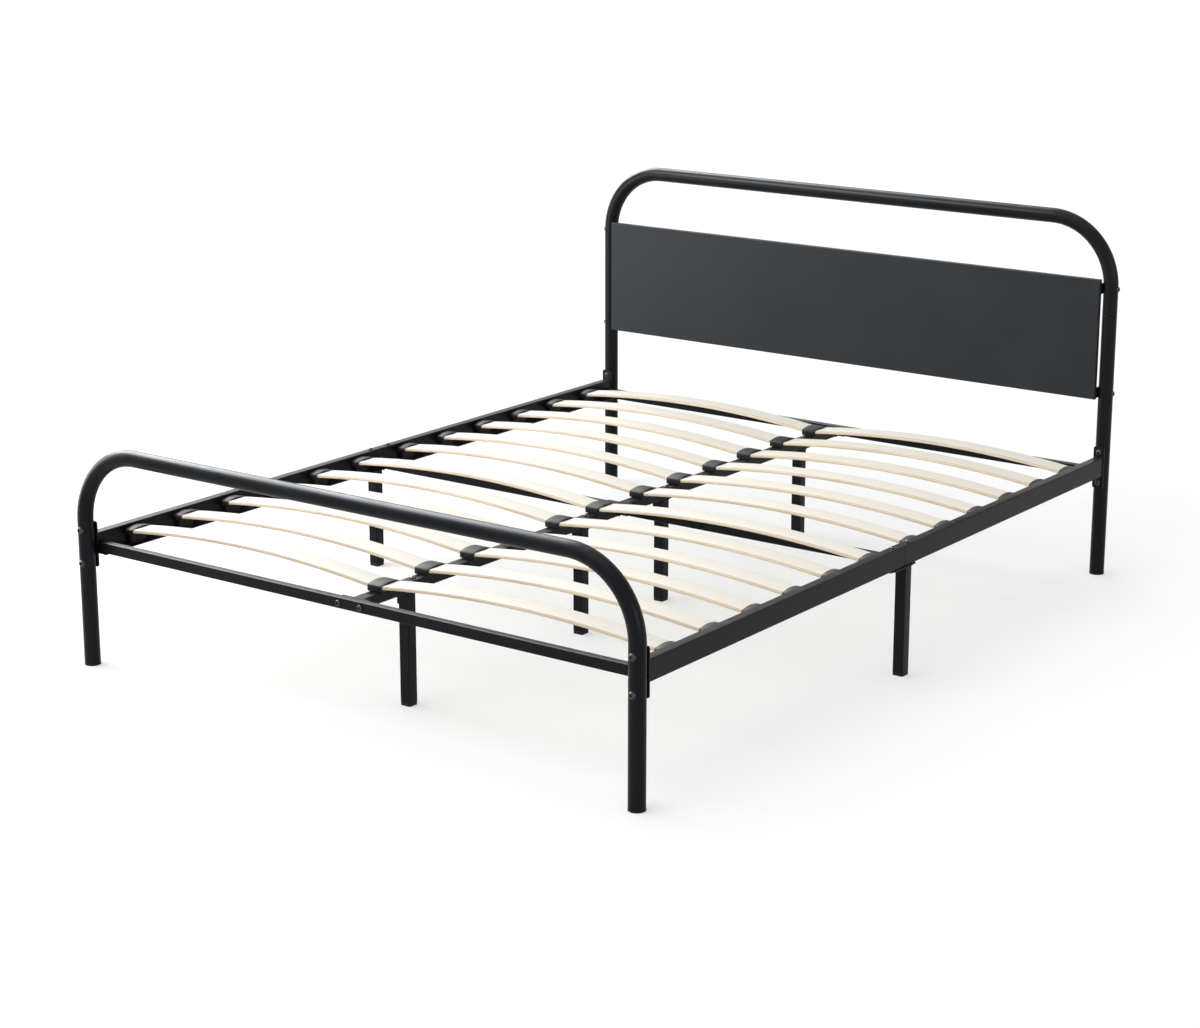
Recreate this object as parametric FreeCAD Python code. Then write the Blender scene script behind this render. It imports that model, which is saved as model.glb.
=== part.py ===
import FreeCAD, Part
import math
import os

from FreeCAD import Vector

os.makedirs("parts", exist_ok=True)

# A queen-size metal bed frame that bolts together from tubes, rails, legs and bowed wooden slats.
# Millimetres. +X is the right side seen from the foot, +Y points to the head, +Z is up.
# The origin is on the floor at the middle of the whole frame.

# ---- driving dimensions ----
POST_SPACING_X = 1575.0
POST_SPACING_Y = 2080.0
TUBE_RADIUS = 19.0
TUBE_WALL = 1.5
HOOP_BEND_RADIUS = 172.0
HEAD_HOOP_Z = 930.0
FOOT_HOOP_Z = 523.0
HEAD_SEAM_Z = 690.0
FOOT_SEAM_Z = 286.0
SPIGOT_LENGTH = 28.0
SPIGOT_CLEARANCE = 0.35
TUBE_SIDES = 16
BORE_SIDES = 8

RAIL_BOTTOM_Z = 268.0
RAIL_HEIGHT = 50.0
RAIL_WIDTH = 25.0
RAIL_CORNER = 3.0
TUBE_CORNER_FLATS = 2
SHEET_WALL = 1.5
FLANGE_WIDTH = 25.0
FLANGE_THICKNESS = 2.0
RAIL_SEAM_GAP = 0.6
END_PLATE_WIDTH = 30.0
END_PLATE_HEIGHT = 110.0
END_PLATE_THICKNESS = 4.0
END_PLATE_CORNER = 5.0
PLATE_CORNER_FLATS = 3

CROSSBAR_DEPTH = 20.0
CROSSBAR_HEIGHT = 25.0
CROSSBAR_INSET = 36.0
CROSSBAR_END_GAP = 2.5
MID_CROSSBAR_OFFSET = -16.0
CENTRE_RAIL_WIDTH = 30.0
CENTRE_RAIL_HEIGHT = 24.0
CENTRE_RAIL_DROP = 3.0
CENTRE_PLATE_WIDTH = 84.0
CENTRE_PLATE_THICKNESS = 4.0

LEG_SIZE = 28.0
LEG_CORNER = 2.5
SIDE_LEG_OFFSET_Y = 17.5
SIDE_LEG_PLATE = (30.0, 100.0, 3.0)
CENTRE_LEG_Y = (-820.0, -170.0, 170.0, 820.0)
CENTRE_LEG_PLATE = (30.0, 51.0, 3.0)
CENTRE_LEG_BOLT_OFFSET = 21.0
CENTRE_LEG_TAB_DROP = 25.0

PANEL_BOTTOM_Z = 469.0
PANEL_TOP_Z = 782.0
PANEL_FRONT_OFFSET = 28.0
PANEL_DEPTH = 12.0
PANEL_SHEET = 1.2
PANEL_CORNER = 2.0
BRACKET_THICKNESS = 3.0
BRACKET_POST_GAP = 0.6
BRACKET_HALF_HEIGHT = 14.0
BRACKET_REACH = 12.0

SLAT_WIDTH = 60.0
SLAT_THICKNESS = 8.0
SLAT_BOW = 25.0
SLAT_END_TOP_Z = 305.0
SLAT_FACETS = 6
SLAT_ROWS_PER_HALF = 6
SLAT_PITCH = 161.0
SLAT_FIRST_OFFSET = 92.0
SLAT_CLEARANCE = 0.4
HOLDER_WIDTH = 66.0
HOLDER_CROWN_Z = 312.0
HOLDER_SHOULDER_Z = 307.5
HOLDER_FLOOR_Z = 294.5
HOLDER_WEB = 1.5
HOLDER_HALF_LENGTH = 20.5
CAP_DEPTH = 25.0
CAP_BACK_WALL = 3.0
HOLDER_FOOT_WIDTH = 48.0

BOLT_RADIUS = 4.0
BOLT_HOLE_RADIUS = 4.9
BOLT_HEAD_RADIUS = 7.0
BOLT_HEAD_CROWN = 4.6
BOLT_HEAD_HEIGHT = 4.4
BOLT_HEAD_SIDES = 8
NUT_RADIUS = 8.5
NUT_SIDES = 4
NUT_HEIGHT = 6.5
SLEEVE_RADIUS = 6.8
SLEEVE_LENGTH = 16.0
CORNER_BOLT_Z = (251.0, 331.0)
PANEL_BOLT_Z = (485.0, 757.0)
RAIL_JOINT_BOLT_OFFSET = 34.0
SIDE_LEG_BOLT_OFFSET = 42.0
CROSSBAR_BOLT_X = 31.0

POST_CAP_HEAD = 4.0
POST_CAP_RIM = 0.5
POST_CAP_STEM = 22.0
POST_CAP_STEM_WALL = 2.5
POST_CAP_CLEARANCE = 0.35
LEG_CAP_HEAD = 8.0
LEG_CAP_STEM = 20.0
LEG_CAP_STEM_WALL = 2.5
LEG_CAP_CLEARANCE = 0.3

# ---- places worked out from them ----
POST_X = POST_SPACING_X / 2
SIDE_STEP = 2 * math.pi / TUBE_SIDES
TUBE_CORNER_RADIUS = TUBE_RADIUS * math.sqrt(SIDE_STEP / math.sin(SIDE_STEP))
FLAT_RATIO = math.cos(SIDE_STEP / 2)
TUBE_REACH = TUBE_CORNER_RADIUS * FLAT_RATIO
FOOT_REACH = TUBE_REACH + BOLT_HEAD_HEIGHT
HEAD_REACH = (TUBE_CORNER_RADIUS + POST_CAP_RIM) * FLAT_RATIO
HALF_LENGTH = (POST_SPACING_Y + FOOT_REACH + HEAD_REACH) / 2
FOOT_Y = FOOT_REACH - HALF_LENGTH
HEAD_Y = HALF_LENGTH - HEAD_REACH
MID_Y = (FOOT_Y + HEAD_Y) / 2
TUBE_BORE = TUBE_RADIUS - TUBE_WALL
SPIGOT_RADIUS = TUBE_BORE - SPIGOT_CLEARANCE
RAIL_TOP_Z = RAIL_BOTTOM_Z + RAIL_HEIGHT
RAIL_INNER_X = POST_X - RAIL_WIDTH / 2
FLANGE_TOP_Z = RAIL_BOTTOM_Z + FLANGE_THICKNESS
FLANGE_BOLT_X = RAIL_INNER_X - FLANGE_WIDTH / 2
END_PLATE_CENTRE_Z = sum(CORNER_BOLT_Z) / 2
DECK_Z = FLANGE_TOP_Z + CROSSBAR_HEIGHT
CENTRE_RAIL_TOP_Z = DECK_Z - CENTRE_RAIL_DROP
CENTRE_RAIL_BOTTOM_Z = CENTRE_RAIL_TOP_Z - CENTRE_RAIL_HEIGHT
CROSSBAR_BOLT_Z = FLANGE_TOP_Z + CROSSBAR_HEIGHT / 2
FOOT_BAR_Y = FOOT_Y + CROSSBAR_INSET
HEAD_BAR_Y = HEAD_Y - CROSSBAR_INSET
MID_BAR_Y = MID_Y + MID_CROSSBAR_OFFSET
BRACKET_OUTER_X = POST_X - TUBE_REACH - BRACKET_POST_GAP
PANEL_HALF_WIDTH = BRACKET_OUTER_X + PANEL_SHEET
PANEL_FRONT_Y = HEAD_Y - PANEL_FRONT_OFFSET
SLAT_INNER_X = HOLDER_WEB + 0.5
SLAT_OUTER_X = RAIL_INNER_X - CAP_BACK_WALL - 0.5
SLAT_HALF_SPAN = (SLAT_OUTER_X - SLAT_INNER_X) / 2
SLAT_MID_X = (SLAT_OUTER_X + SLAT_INNER_X) / 2
SLAT_TOP_RADIUS = (SLAT_HALF_SPAN ** 2 + SLAT_BOW ** 2) / (2 * SLAT_BOW)
SLAT_HALF_ANGLE = math.asin(SLAT_HALF_SPAN / SLAT_TOP_RADIUS)
SLAT_END_SLOPE = math.tan(SLAT_HALF_ANGLE * (1 - 1 / SLAT_FACETS))
SLAT_OFFSETS = [SLAT_FIRST_OFFSET + SLAT_PITCH * k for k in range(SLAT_ROWS_PER_HALF)]
SLAT_ROWS_Y = [MID_Y - d for d in reversed(SLAT_OFFSETS)] + [MID_Y + d for d in SLAT_OFFSETS]

X_AXIS = Vector(1, 0, 0)
Y_AXIS = Vector(0, 1, 0)
Z_AXIS = Vector(0, 0, 1)


# ---- shape helpers ----
def save(name, shape):
    """Writes one named piece, or a group of like pieces, to its own file."""
    shape.exportStep("parts/" + name + ".step")


def box(x0, x1, y0, y1, z0, z1):
    return Part.makeBox(x1 - x0, y1 - y0, z1 - z0, Vector(x0, y0, z0))


def prism(base, direction, radius, height, sides):
    """A straight bar whose section is a regular polygon. Its corners lie on the given radius."""
    side = Z_AXIS if abs(direction.z) < 0.5 else X_AXIS
    outline = regular_outline(base, direction, side, radius, sides)
    return Part.Face(outline).extrude(direction * height)


def regular_outline(centre, normal, side, radius, sides):
    other = normal.cross(side)
    points = []
    for k in range(sides):
        angle = 2 * math.pi * (k + 0.5) / sides
        points.append(centre + side * (radius * math.cos(angle)) + other * (radius * math.sin(angle)))
    return Part.makePolygon(points + points[:1])


def equal_area(radius, sides):
    """The corner radius of a regular polygon that holds as much area as the circle."""
    step = 2 * math.pi / sides
    return radius * math.sqrt(step / math.sin(step))


def drill(start, direction, length):
    """The room that one bolt hole needs. Holes and shanks have six flats, and threads are left out."""
    return prism(start, direction, BOLT_HOLE_RADIUS, length, 6)


def mirror_x(shape):
    return shape.mirror(Vector(0, 0, 0), X_AXIS)


def polygon_face(points):
    wire = Part.makePolygon([Vector(*p) for p in points + points[:1]])
    return Part.Face(wire)


def softened_rectangle(a0, a1, b0, b1, radius, flats, place):
    """A rectangle whose round corners are drawn with a few flats. place(a, b) makes a point of its plane."""
    corners = [(a1 - radius, b1 - radius, 0), (a0 + radius, b1 - radius, 90)]
    corners += [(a0 + radius, b0 + radius, 180), (a1 - radius, b0 + radius, 270)]
    points = []
    for (ca, cb, start) in corners:
        for k in range(flats + 1):
            angle = math.radians(start + 90 * k / flats)
            points.append(place(ca + radius * math.cos(angle), cb + radius * math.sin(angle)))
    return polygon_face(points)


def tube_along_y(x0, x1, z0, z1, y0, y1, corner, wall):
    """A rectangular tube with soft outer corners, open at both ends."""
    outer = softened_rectangle(x0, x1, z0, z1, corner, TUBE_CORNER_FLATS, lambda a, b: (a, y0, b))
    bore = box(x0 + wall, x1 - wall, y0, y1, z0 + wall, z1 - wall)
    return outer.extrude(Y_AXIS * (y1 - y0)).cut(bore)


def tube_along_x(y0, y1, z0, z1, x0, x1, corner, wall):
    outer = softened_rectangle(y0, y1, z0, z1, corner, TUBE_CORNER_FLATS, lambda a, b: (x0, a, b))
    bore = box(x0, x1, y0 + wall, y1 - wall, z0 + wall, z1 - wall)
    return outer.extrude(X_AXIS * (x1 - x0)).cut(bore)


def square_post(x, y, z0, z1, size, corner, wall):
    """An upright square tube centred on x, y."""
    half = size / 2
    bore = half - wall
    outer = softened_rectangle(
        x - half, x + half, y - half, y + half, corner, TUBE_CORNER_FLATS, lambda a, b: (a, b, z0)
    )
    return outer.extrude(Z_AXIS * (z1 - z0)).cut(box(x - bore, x + bore, y - bore, y + bore, z0, z1))


def button_bolt(base, direction, length):
    """A button-head bolt. The head sits on base and the shank runs along direction."""
    side = Z_AXIS if abs(direction.z) < 0.5 else X_AXIS
    top = base - direction * BOLT_HEAD_HEIGHT
    rim = regular_outline(base, direction, side, BOLT_HEAD_RADIUS, BOLT_HEAD_SIDES)
    crown = regular_outline(top, direction, side, BOLT_HEAD_CROWN, BOLT_HEAD_SIDES)
    head = Part.makeLoft([crown, rim], True, True)
    return head.fuse(prism(base, direction, BOLT_RADIUS, length, 6)).removeSplitter()


def weld_nut(base, direction):
    """A square weld nut that stands on base and opens along direction."""
    return prism(base, direction, NUT_RADIUS, NUT_HEIGHT, NUT_SIDES).cut(drill(base, direction, NUT_HEIGHT))


# ---- hoops and posts ----
def swept_round(path, radius, sides):
    """A round bar along a bent path. Its section has flats, so that the bends keep few faces."""
    start = path.Vertexes[0].Point
    outline = regular_outline(start, Z_AXIS, X_AXIS, equal_area(radius, sides), sides)
    return path.makePipeShell([outline], True, True)


def tube_ring(x, y, z0, z1, outer, inner):
    """A short upright ring with the flats of a tube's bore."""
    solid = prism(Vector(x, y, z0), Z_AXIS, equal_area(outer, BORE_SIDES), z1 - z0, BORE_SIDES)
    return solid.cut(prism(Vector(x, y, z0), Z_AXIS, equal_area(inner, BORE_SIDES), z1 - z0, BORE_SIDES))


def hoop_path(y, seam_z, top_z):
    bend_z = top_z - HOOP_BEND_RADIUS
    bend_x = POST_X - HOOP_BEND_RADIUS
    reach = HOOP_BEND_RADIUS * math.sqrt(0.5)
    (feet, starts, middles, ends) = ([], [], [], [])
    for side in (1, -1):
        feet.append(Vector(side * POST_X, y, seam_z))
        starts.append(Vector(side * POST_X, y, bend_z))
        middles.append(Vector(side * (bend_x + reach), y, bend_z + reach))
        ends.append(Vector(side * bend_x, y, top_z))
    edges = [
        Part.LineSegment(feet[0], starts[0]).toShape(),
        Part.Arc(starts[0], middles[0], ends[0]).toShape(),
        Part.LineSegment(ends[0], ends[1]).toShape(),
        Part.Arc(ends[1], middles[1], starts[1]).toShape(),
        Part.LineSegment(starts[1], feet[1]).toShape(),
    ]
    return Part.Wire(edges)


def hoop(y, seam_z, top_z):
    """One tube bent twice into an upside-down U, with both ends reduced to plug into the posts."""
    path = hoop_path(y, seam_z, top_z)
    tube = swept_round(path, TUBE_RADIUS, TUBE_SIDES).cut(swept_round(path, TUBE_BORE, BORE_SIDES))
    spigot_bore = SPIGOT_RADIUS - TUBE_WALL
    for x in (-POST_X, POST_X):
        spigot = tube_ring(x, y, seam_z - SPIGOT_LENGTH, seam_z, SPIGOT_RADIUS, spigot_bore)
        shoulder = tube_ring(x, y, seam_z, seam_z + TUBE_WALL, TUBE_BORE + 0.1, spigot_bore)
        tube = tube.fuse([spigot, shoulder])
    return tube.removeSplitter()


def head_hoop():
    tube = hoop(HEAD_Y, HEAD_SEAM_Z, HEAD_HOOP_Z)
    bolt_z = PANEL_BOLT_Z[1]
    hole = drill(Vector(-POST_X - 30, HEAD_Y, bolt_z), X_AXIS, 60)
    return tube.cut([hole, mirror_x(hole)])


def foot_hoop():
    tube = hoop(FOOT_Y, FOOT_SEAM_Z, FOOT_HOOP_Z)
    bolt_z = CORNER_BOLT_Z[1]
    hole = drill(Vector(POST_X, FOOT_Y - 30, bolt_z), Y_AXIS, 60)
    return tube.cut([hole, mirror_x(hole)])


def post_tube(x, y, top_z):
    """An open round tube. The hoop's spigot plugs into its top."""
    start = Vector(x, y, POST_CAP_HEAD)
    height = top_z - POST_CAP_HEAD
    outer = prism(start, Z_AXIS, equal_area(TUBE_RADIUS, TUBE_SIDES), height, TUBE_SIDES)
    return outer.cut(prism(start, Z_AXIS, equal_area(TUBE_BORE, BORE_SIDES), height, BORE_SIDES))


def foot_post(side):
    tube = post_tube(side * POST_X, FOOT_Y, FOOT_SEAM_Z)
    return tube.cut(drill(Vector(side * POST_X, FOOT_Y - 30, CORNER_BOLT_Z[0]), Y_AXIS, 60))


def head_post(side):
    """The post has a pressed-in threaded sleeve behind each rail bolt and a cross hole for the panel."""
    x = side * POST_X
    tube = post_tube(x, HEAD_Y, HEAD_SEAM_Z)
    for z in CORNER_BOLT_Z:
        sleeve_start = Vector(x, HEAD_Y - TUBE_BORE - TUBE_WALL / 2, z)
        tube = tube.fuse(prism(sleeve_start, Y_AXIS, SLEEVE_RADIUS, SLEEVE_LENGTH, 6))
        tube = tube.cut(drill(Vector(x, HEAD_Y - 30, z), Y_AXIS, 32))
    return tube.cut(drill(Vector(x - 30, HEAD_Y, PANEL_BOLT_Z[0]), X_AXIS, 60))


def post_foot_cap(x, y):
    """A plug: a round head under the tube, a little wider than it, and a hollow stem inside it."""
    head = prism(Vector(x, y, 0), Z_AXIS, TUBE_CORNER_RADIUS + POST_CAP_RIM, POST_CAP_HEAD, TUBE_SIDES)
    stem_radius = equal_area(TUBE_BORE, BORE_SIDES) - POST_CAP_CLEARANCE
    stem = prism(Vector(x, y, POST_CAP_HEAD), Z_AXIS, stem_radius, POST_CAP_STEM, BORE_SIDES)
    hollow_start = Vector(x, y, POST_CAP_HEAD + 1)
    hollow = prism(hollow_start, Z_AXIS, stem_radius - POST_CAP_STEM_WALL, POST_CAP_STEM, BORE_SIDES)
    return head.fuse(stem.cut(hollow))


# ---- side rails ----
def end_plate(x, y0, half_width, half_height, z, thickness, flats):
    face = softened_rectangle(
        x - half_width, x + half_width, z - half_height, z + half_height,
        END_PLATE_CORNER, flats, lambda a, b: (a, y0, b),
    )
    return face.extrude(Y_AXIS * thickness)


def foot_rail_right():
    """The foot half of the right rail: a closed tube with a slat flange along its inner bottom edge."""
    plate_y = FOOT_Y + TUBE_REACH
    start_y = plate_y + END_PLATE_THICKNESS
    end_y = MID_Y - RAIL_SEAM_GAP / 2
    x0 = RAIL_INNER_X
    x1 = RAIL_INNER_X + RAIL_WIDTH
    rail = tube_along_y(x0, x1, RAIL_BOTTOM_Z, RAIL_TOP_Z, start_y, end_y, RAIL_CORNER, SHEET_WALL)
    flange = box(x0 - FLANGE_WIDTH, x0 + SHEET_WALL, start_y, end_y, RAIL_BOTTOM_Z, FLANGE_TOP_Z)
    plate = end_plate(
        POST_X, plate_y, END_PLATE_WIDTH / 2, END_PLATE_HEIGHT / 2, END_PLATE_CENTRE_Z,
        END_PLATE_THICKNESS, PLATE_CORNER_FLATS,
    )
    rail = rail.fuse([flange, plate])
    holes = [drill(Vector(POST_X, plate_y - 1, z), Y_AXIS, END_PLATE_THICKNESS + 2) for z in CORNER_BOLT_Z]
    holes.append(drill(Vector(POST_X, MID_Y - RAIL_JOINT_BOLT_OFFSET, RAIL_TOP_Z - 10), Z_AXIS, 20))
    holes.append(drill(Vector(POST_X, MID_Y - SIDE_LEG_BOLT_OFFSET, RAIL_BOTTOM_Z - 5), Z_AXIS, 10))
    holes.append(drill(Vector(FLANGE_BOLT_X, FOOT_BAR_Y, RAIL_BOTTOM_Z - 5), Z_AXIS, 10))
    return rail.cut(holes)


def side_rail_foot(side):
    """The foot rail carries weld nuts on its plate and the holes for the middle cross bar."""
    rail = foot_rail_right()
    nut_y = FOOT_Y + TUBE_REACH + END_PLATE_THICKNESS
    for z in CORNER_BOLT_Z:
        rail = rail.fuse(weld_nut(Vector(POST_X, nut_y, z), Y_AXIS))
    rail = rail.cut(drill(Vector(FLANGE_BOLT_X, MID_BAR_Y, RAIL_BOTTOM_Z - 5), Z_AXIS, 10)).removeSplitter()
    return rail if side > 0 else mirror_x(rail)


def side_rail_head(side):
    rail = foot_rail_right().mirror(Vector(0, MID_Y, 0), Y_AXIS).removeSplitter()
    return rail if side > 0 else mirror_x(rail)


def rail_joiner(side):
    """A short sleeve inside the two rail halves, with weld nuts behind its four bolt holes."""
    gap = SHEET_WALL + 0.35
    x0 = RAIL_INNER_X + gap
    x1 = RAIL_INNER_X + RAIL_WIDTH - gap
    z0 = RAIL_BOTTOM_Z + gap
    z1 = RAIL_TOP_Z - gap
    sleeve = tube_along_y(x0, x1, z0, z1, MID_Y - 80, MID_Y + 80, RAIL_CORNER - 1, SHEET_WALL)
    for sign in (-1, 1):
        top = Vector(POST_X, MID_Y + sign * RAIL_JOINT_BOLT_OFFSET, z1 - SHEET_WALL)
        low = Vector(POST_X, MID_Y + sign * SIDE_LEG_BOLT_OFFSET, z0 + SHEET_WALL)
        sleeve = sleeve.fuse([weld_nut(top, -Z_AXIS), weld_nut(low, Z_AXIS)])
        holes = [drill(top - Z_AXIS * NUT_HEIGHT, Z_AXIS, 12), drill(low - Z_AXIS * 4, Z_AXIS, 12)]
        sleeve = sleeve.cut(holes)
    sleeve = sleeve.removeSplitter()
    return sleeve if side > 0 else mirror_x(sleeve)


# ---- legs ----
def side_leg(side):
    """A square leg under the rail's middle joint. Its top plate bridges both rail halves."""
    (width, length, thickness) = SIDE_LEG_PLATE
    plate_z = RAIL_BOTTOM_Z - thickness
    x = side * POST_X
    plate = softened_rectangle(
        x - width / 2, x + width / 2, MID_Y - length / 2, MID_Y + length / 2,
        4, PLATE_CORNER_FLATS, lambda a, b: (a, b, plate_z),
    ).extrude(Z_AXIS * thickness)
    for sign in (-1, 1):
        hole = Vector(x, MID_Y + sign * SIDE_LEG_BOLT_OFFSET, plate_z - 1)
        plate = plate.cut(drill(hole, Z_AXIS, thickness + 2))
    leg_y = MID_Y + side * SIDE_LEG_OFFSET_Y
    leg = square_post(x, leg_y, LEG_CAP_HEAD, plate_z, LEG_SIZE, LEG_CORNER, SHEET_WALL)
    return leg.fuse(plate).removeSplitter()


def centre_leg(y):
    """A square leg with a bent top plate: a seat bolted up through the rail and a tab down the foot side."""
    (width, length, thickness) = CENTRE_LEG_PLATE
    plate_z = CENTRE_RAIL_BOTTOM_Z - thickness
    half = LEG_SIZE / 2
    tab_y = y - half - thickness
    plate = box(-width / 2, width / 2, tab_y, tab_y + length, plate_z, plate_z + thickness)
    tab = box(-width / 2, width / 2, tab_y, tab_y + thickness, plate_z - CENTRE_LEG_TAB_DROP, plate_z)
    leg = square_post(0, y, LEG_CAP_HEAD, plate_z, LEG_SIZE, LEG_CORNER, SHEET_WALL)
    bolt_place = Vector(0, y + CENTRE_LEG_BOLT_OFFSET, plate_z)
    leg = leg.fuse([plate, tab, weld_nut(bolt_place, -Z_AXIS)])
    hole_start = bolt_place - Z_AXIS * (NUT_HEIGHT + 1)
    leg = leg.cut(drill(hole_start, Z_AXIS, NUT_HEIGHT + thickness + 2))
    return leg.removeSplitter()


def leg_foot_cap(x, y):
    """A plug: a square head under the tube and a hollow stem inside it."""
    half = LEG_SIZE / 2
    head = softened_rectangle(x - half, x + half, y - half, y + half, LEG_CORNER, 1, lambda a, b: (a, b, 0))
    head = head.extrude(Z_AXIS * LEG_CAP_HEAD)
    stem_half = half - SHEET_WALL - LEG_CAP_CLEARANCE
    top = LEG_CAP_HEAD + LEG_CAP_STEM
    stem = box(x - stem_half, x + stem_half, y - stem_half, y + stem_half, LEG_CAP_HEAD, top)
    hollow = stem_half - LEG_CAP_STEM_WALL
    stem = stem.cut(box(x - hollow, x + hollow, y - hollow, y + hollow, LEG_CAP_HEAD + 1, top))
    return head.fuse(stem).removeSplitter()


# ---- cross bars and centre rail ----
def crossbar(y):
    """A rectangular tube from rail to rail that rests on both flanges."""
    half = RAIL_INNER_X - CROSSBAR_END_GAP
    y0 = y - CROSSBAR_DEPTH / 2
    y1 = y + CROSSBAR_DEPTH / 2
    bar = tube_along_x(y0, y1, FLANGE_TOP_Z, DECK_Z, -half, half, 2, SHEET_WALL)
    for side in (-1, 1):
        bar = bar.cut(drill(Vector(side * FLANGE_BOLT_X, y, FLANGE_TOP_Z - 1), Z_AXIS, 5))
        through = Vector(side * CROSSBAR_BOLT_X, y0 - 1, CROSSBAR_BOLT_Z)
        bar = bar.cut(drill(through, Y_AXIS, CROSSBAR_DEPTH + 2))
    return bar


def centre_rail(y0, y1, leg_rows, nut_ends):
    """One half of the centre rail: a flat tube between two plates that bolt to the cross bars."""
    half = CENTRE_RAIL_WIDTH / 2
    t = CENTRE_PLATE_THICKNESS
    rail = tube_along_y(-half, half, CENTRE_RAIL_BOTTOM_Z, CENTRE_RAIL_TOP_Z, y0 + t, y1 - t, 2, SHEET_WALL)
    plates = []
    for plate_y in (y0, y1 - t):
        plates.append(end_plate(
            0, plate_y, CENTRE_PLATE_WIDTH / 2, CROSSBAR_HEIGHT / 2, CROSSBAR_BOLT_Z, t, 1
        ))
    rail = rail.fuse(plates)
    for side in (-1, 1):
        for (plate_y, nut_side) in ((y0, 1), (y1 - t, -1)):
            centre = Vector(side * CROSSBAR_BOLT_X, plate_y, CROSSBAR_BOLT_Z)
            rail = rail.cut(drill(centre - Y_AXIS, Y_AXIS, t + 2))
            if nut_side in nut_ends:
                seat = centre + Y_AXIS * (t if nut_side > 0 else 0)
                rail = rail.fuse(weld_nut(seat, Y_AXIS * nut_side))
    for y in leg_rows:
        hole = Vector(0, y + CENTRE_LEG_BOLT_OFFSET, CENTRE_RAIL_BOTTOM_Z - 1)
        rail = rail.cut(drill(hole, Z_AXIS, CENTRE_RAIL_HEIGHT + 2))
    return rail.removeSplitter()


# ---- head panel ----
def head_panel():
    """A sheet folded back along its four edges into a shallow tray, open at the back."""
    half = PANEL_HALF_WIDTH
    y0 = PANEL_FRONT_Y
    outer = box(-half, half, y0, y0 + PANEL_DEPTH, PANEL_BOTTOM_Z, PANEL_TOP_Z)
    front_edges = [e for e in outer.Edges if abs(e.CenterOfMass.y - y0) < 0.1]
    outer = outer.makeChamfer(PANEL_CORNER, front_edges)
    s = PANEL_SHEET
    inner = box(-half + s, half - s, y0 + s, y0 + PANEL_DEPTH + 1, PANEL_BOTTOM_Z + s, PANEL_TOP_Z - s)
    return outer.cut(inner)


def panel_bracket(side, z):
    """A flat tab between the panel's folded edge and the post, with a weld nut on its inner face."""
    x0 = BRACKET_OUTER_X - BRACKET_THICKNESS
    y0 = PANEL_FRONT_Y + PANEL_SHEET + 0.5
    y1 = HEAD_Y + BRACKET_REACH
    face = softened_rectangle(
        y0, y1, z - BRACKET_HALF_HEIGHT, z + BRACKET_HALF_HEIGHT, 3, 1, lambda a, b: (x0, a, b)
    )
    tab = face.extrude(X_AXIS * BRACKET_THICKNESS)
    tab = tab.fuse(weld_nut(Vector(x0, HEAD_Y, z), -X_AXIS))
    tab = tab.cut(drill(Vector(x0 - 10, HEAD_Y, z), X_AXIS, 20)).removeSplitter()
    return tab if side > 0 else mirror_x(tab)


# ---- slats and their holders ----
def slat(side, y):
    """A springy slat: a flat strip bowed upwards along one arc, in a few straight facets."""
    centre_z = SLAT_END_TOP_Z + SLAT_BOW - SLAT_TOP_RADIUS
    start_y = y - SLAT_WIDTH / 2
    upper = []
    lower = []
    for k in range(SLAT_FACETS + 1):
        angle = SLAT_HALF_ANGLE * (2 * k / SLAT_FACETS - 1)
        for (line, radius) in ((upper, SLAT_TOP_RADIUS), (lower, SLAT_TOP_RADIUS - SLAT_THICKNESS)):
            line.append((SLAT_MID_X + radius * math.sin(angle), start_y, centre_z + radius * math.cos(angle)))
    strip = polygon_face(upper + lower[::-1]).extrude(Y_AXIS * SLAT_WIDTH)
    return strip if side > 0 else mirror_x(strip)


def holder_face(x, y, base_z):
    """The holder's section: a narrow foot under a wider body with a low arched top."""
    waist = HOLDER_WIDTH / 2
    foot = HOLDER_FOOT_WIDTH / 2
    half = [(foot, base_z), (foot, HOLDER_FLOOR_Z), (waist, HOLDER_FLOOR_Z), (waist, HOLDER_SHOULDER_Z)]
    half += [(waist / 2, HOLDER_CROWN_Z)]
    points = [(x, y + across, z) for (across, z) in half]
    points += [(x, y - across, z) for (across, z) in reversed(half)]
    return polygon_face(points)


def slat_pocket(end_x, mouth_x, y):
    """The slot for a slat's end. It tilts with the slat, from end_x out to mouth_x."""
    rise = SLAT_END_SLOPE * abs(mouth_x - end_x)
    gap = SLAT_CLEARANCE
    floor = SLAT_END_TOP_Z - SLAT_THICKNESS - gap
    roof = SLAT_END_TOP_Z + gap
    half = SLAT_WIDTH / 2 + gap
    face = polygon_face([
        (end_x, y - half, floor), (mouth_x, y - half, floor + rise),
        (mouth_x, y - half, roof + rise), (end_x, y - half, roof),
    ])
    return face.extrude(Y_AXIS * (2 * half))


def slat_end_cap(side, y):
    """A plastic cap on the rail's flange: a pocket for the slat's end on a narrower foot."""
    x1 = RAIL_INNER_X
    x0 = x1 - CAP_DEPTH
    cap = holder_face(x0, y, FLANGE_TOP_Z).extrude(X_AXIS * CAP_DEPTH)
    cap = cap.cut(slat_pocket(x1 - CAP_BACK_WALL, x0 - 1, y))
    return cap if side > 0 else mirror_x(cap)


def slat_saddle(y):
    """A double holder on the centre rail: one pocket each way with a thin web between."""
    saddle = holder_face(-HOLDER_HALF_LENGTH, y, CENTRE_RAIL_TOP_Z).extrude(X_AXIS * (2 * HOLDER_HALF_LENGTH))
    pocket = slat_pocket(HOLDER_WEB, HOLDER_HALF_LENGTH + 1, y)
    return saddle.cut([pocket, mirror_x(pocket)])


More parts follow.
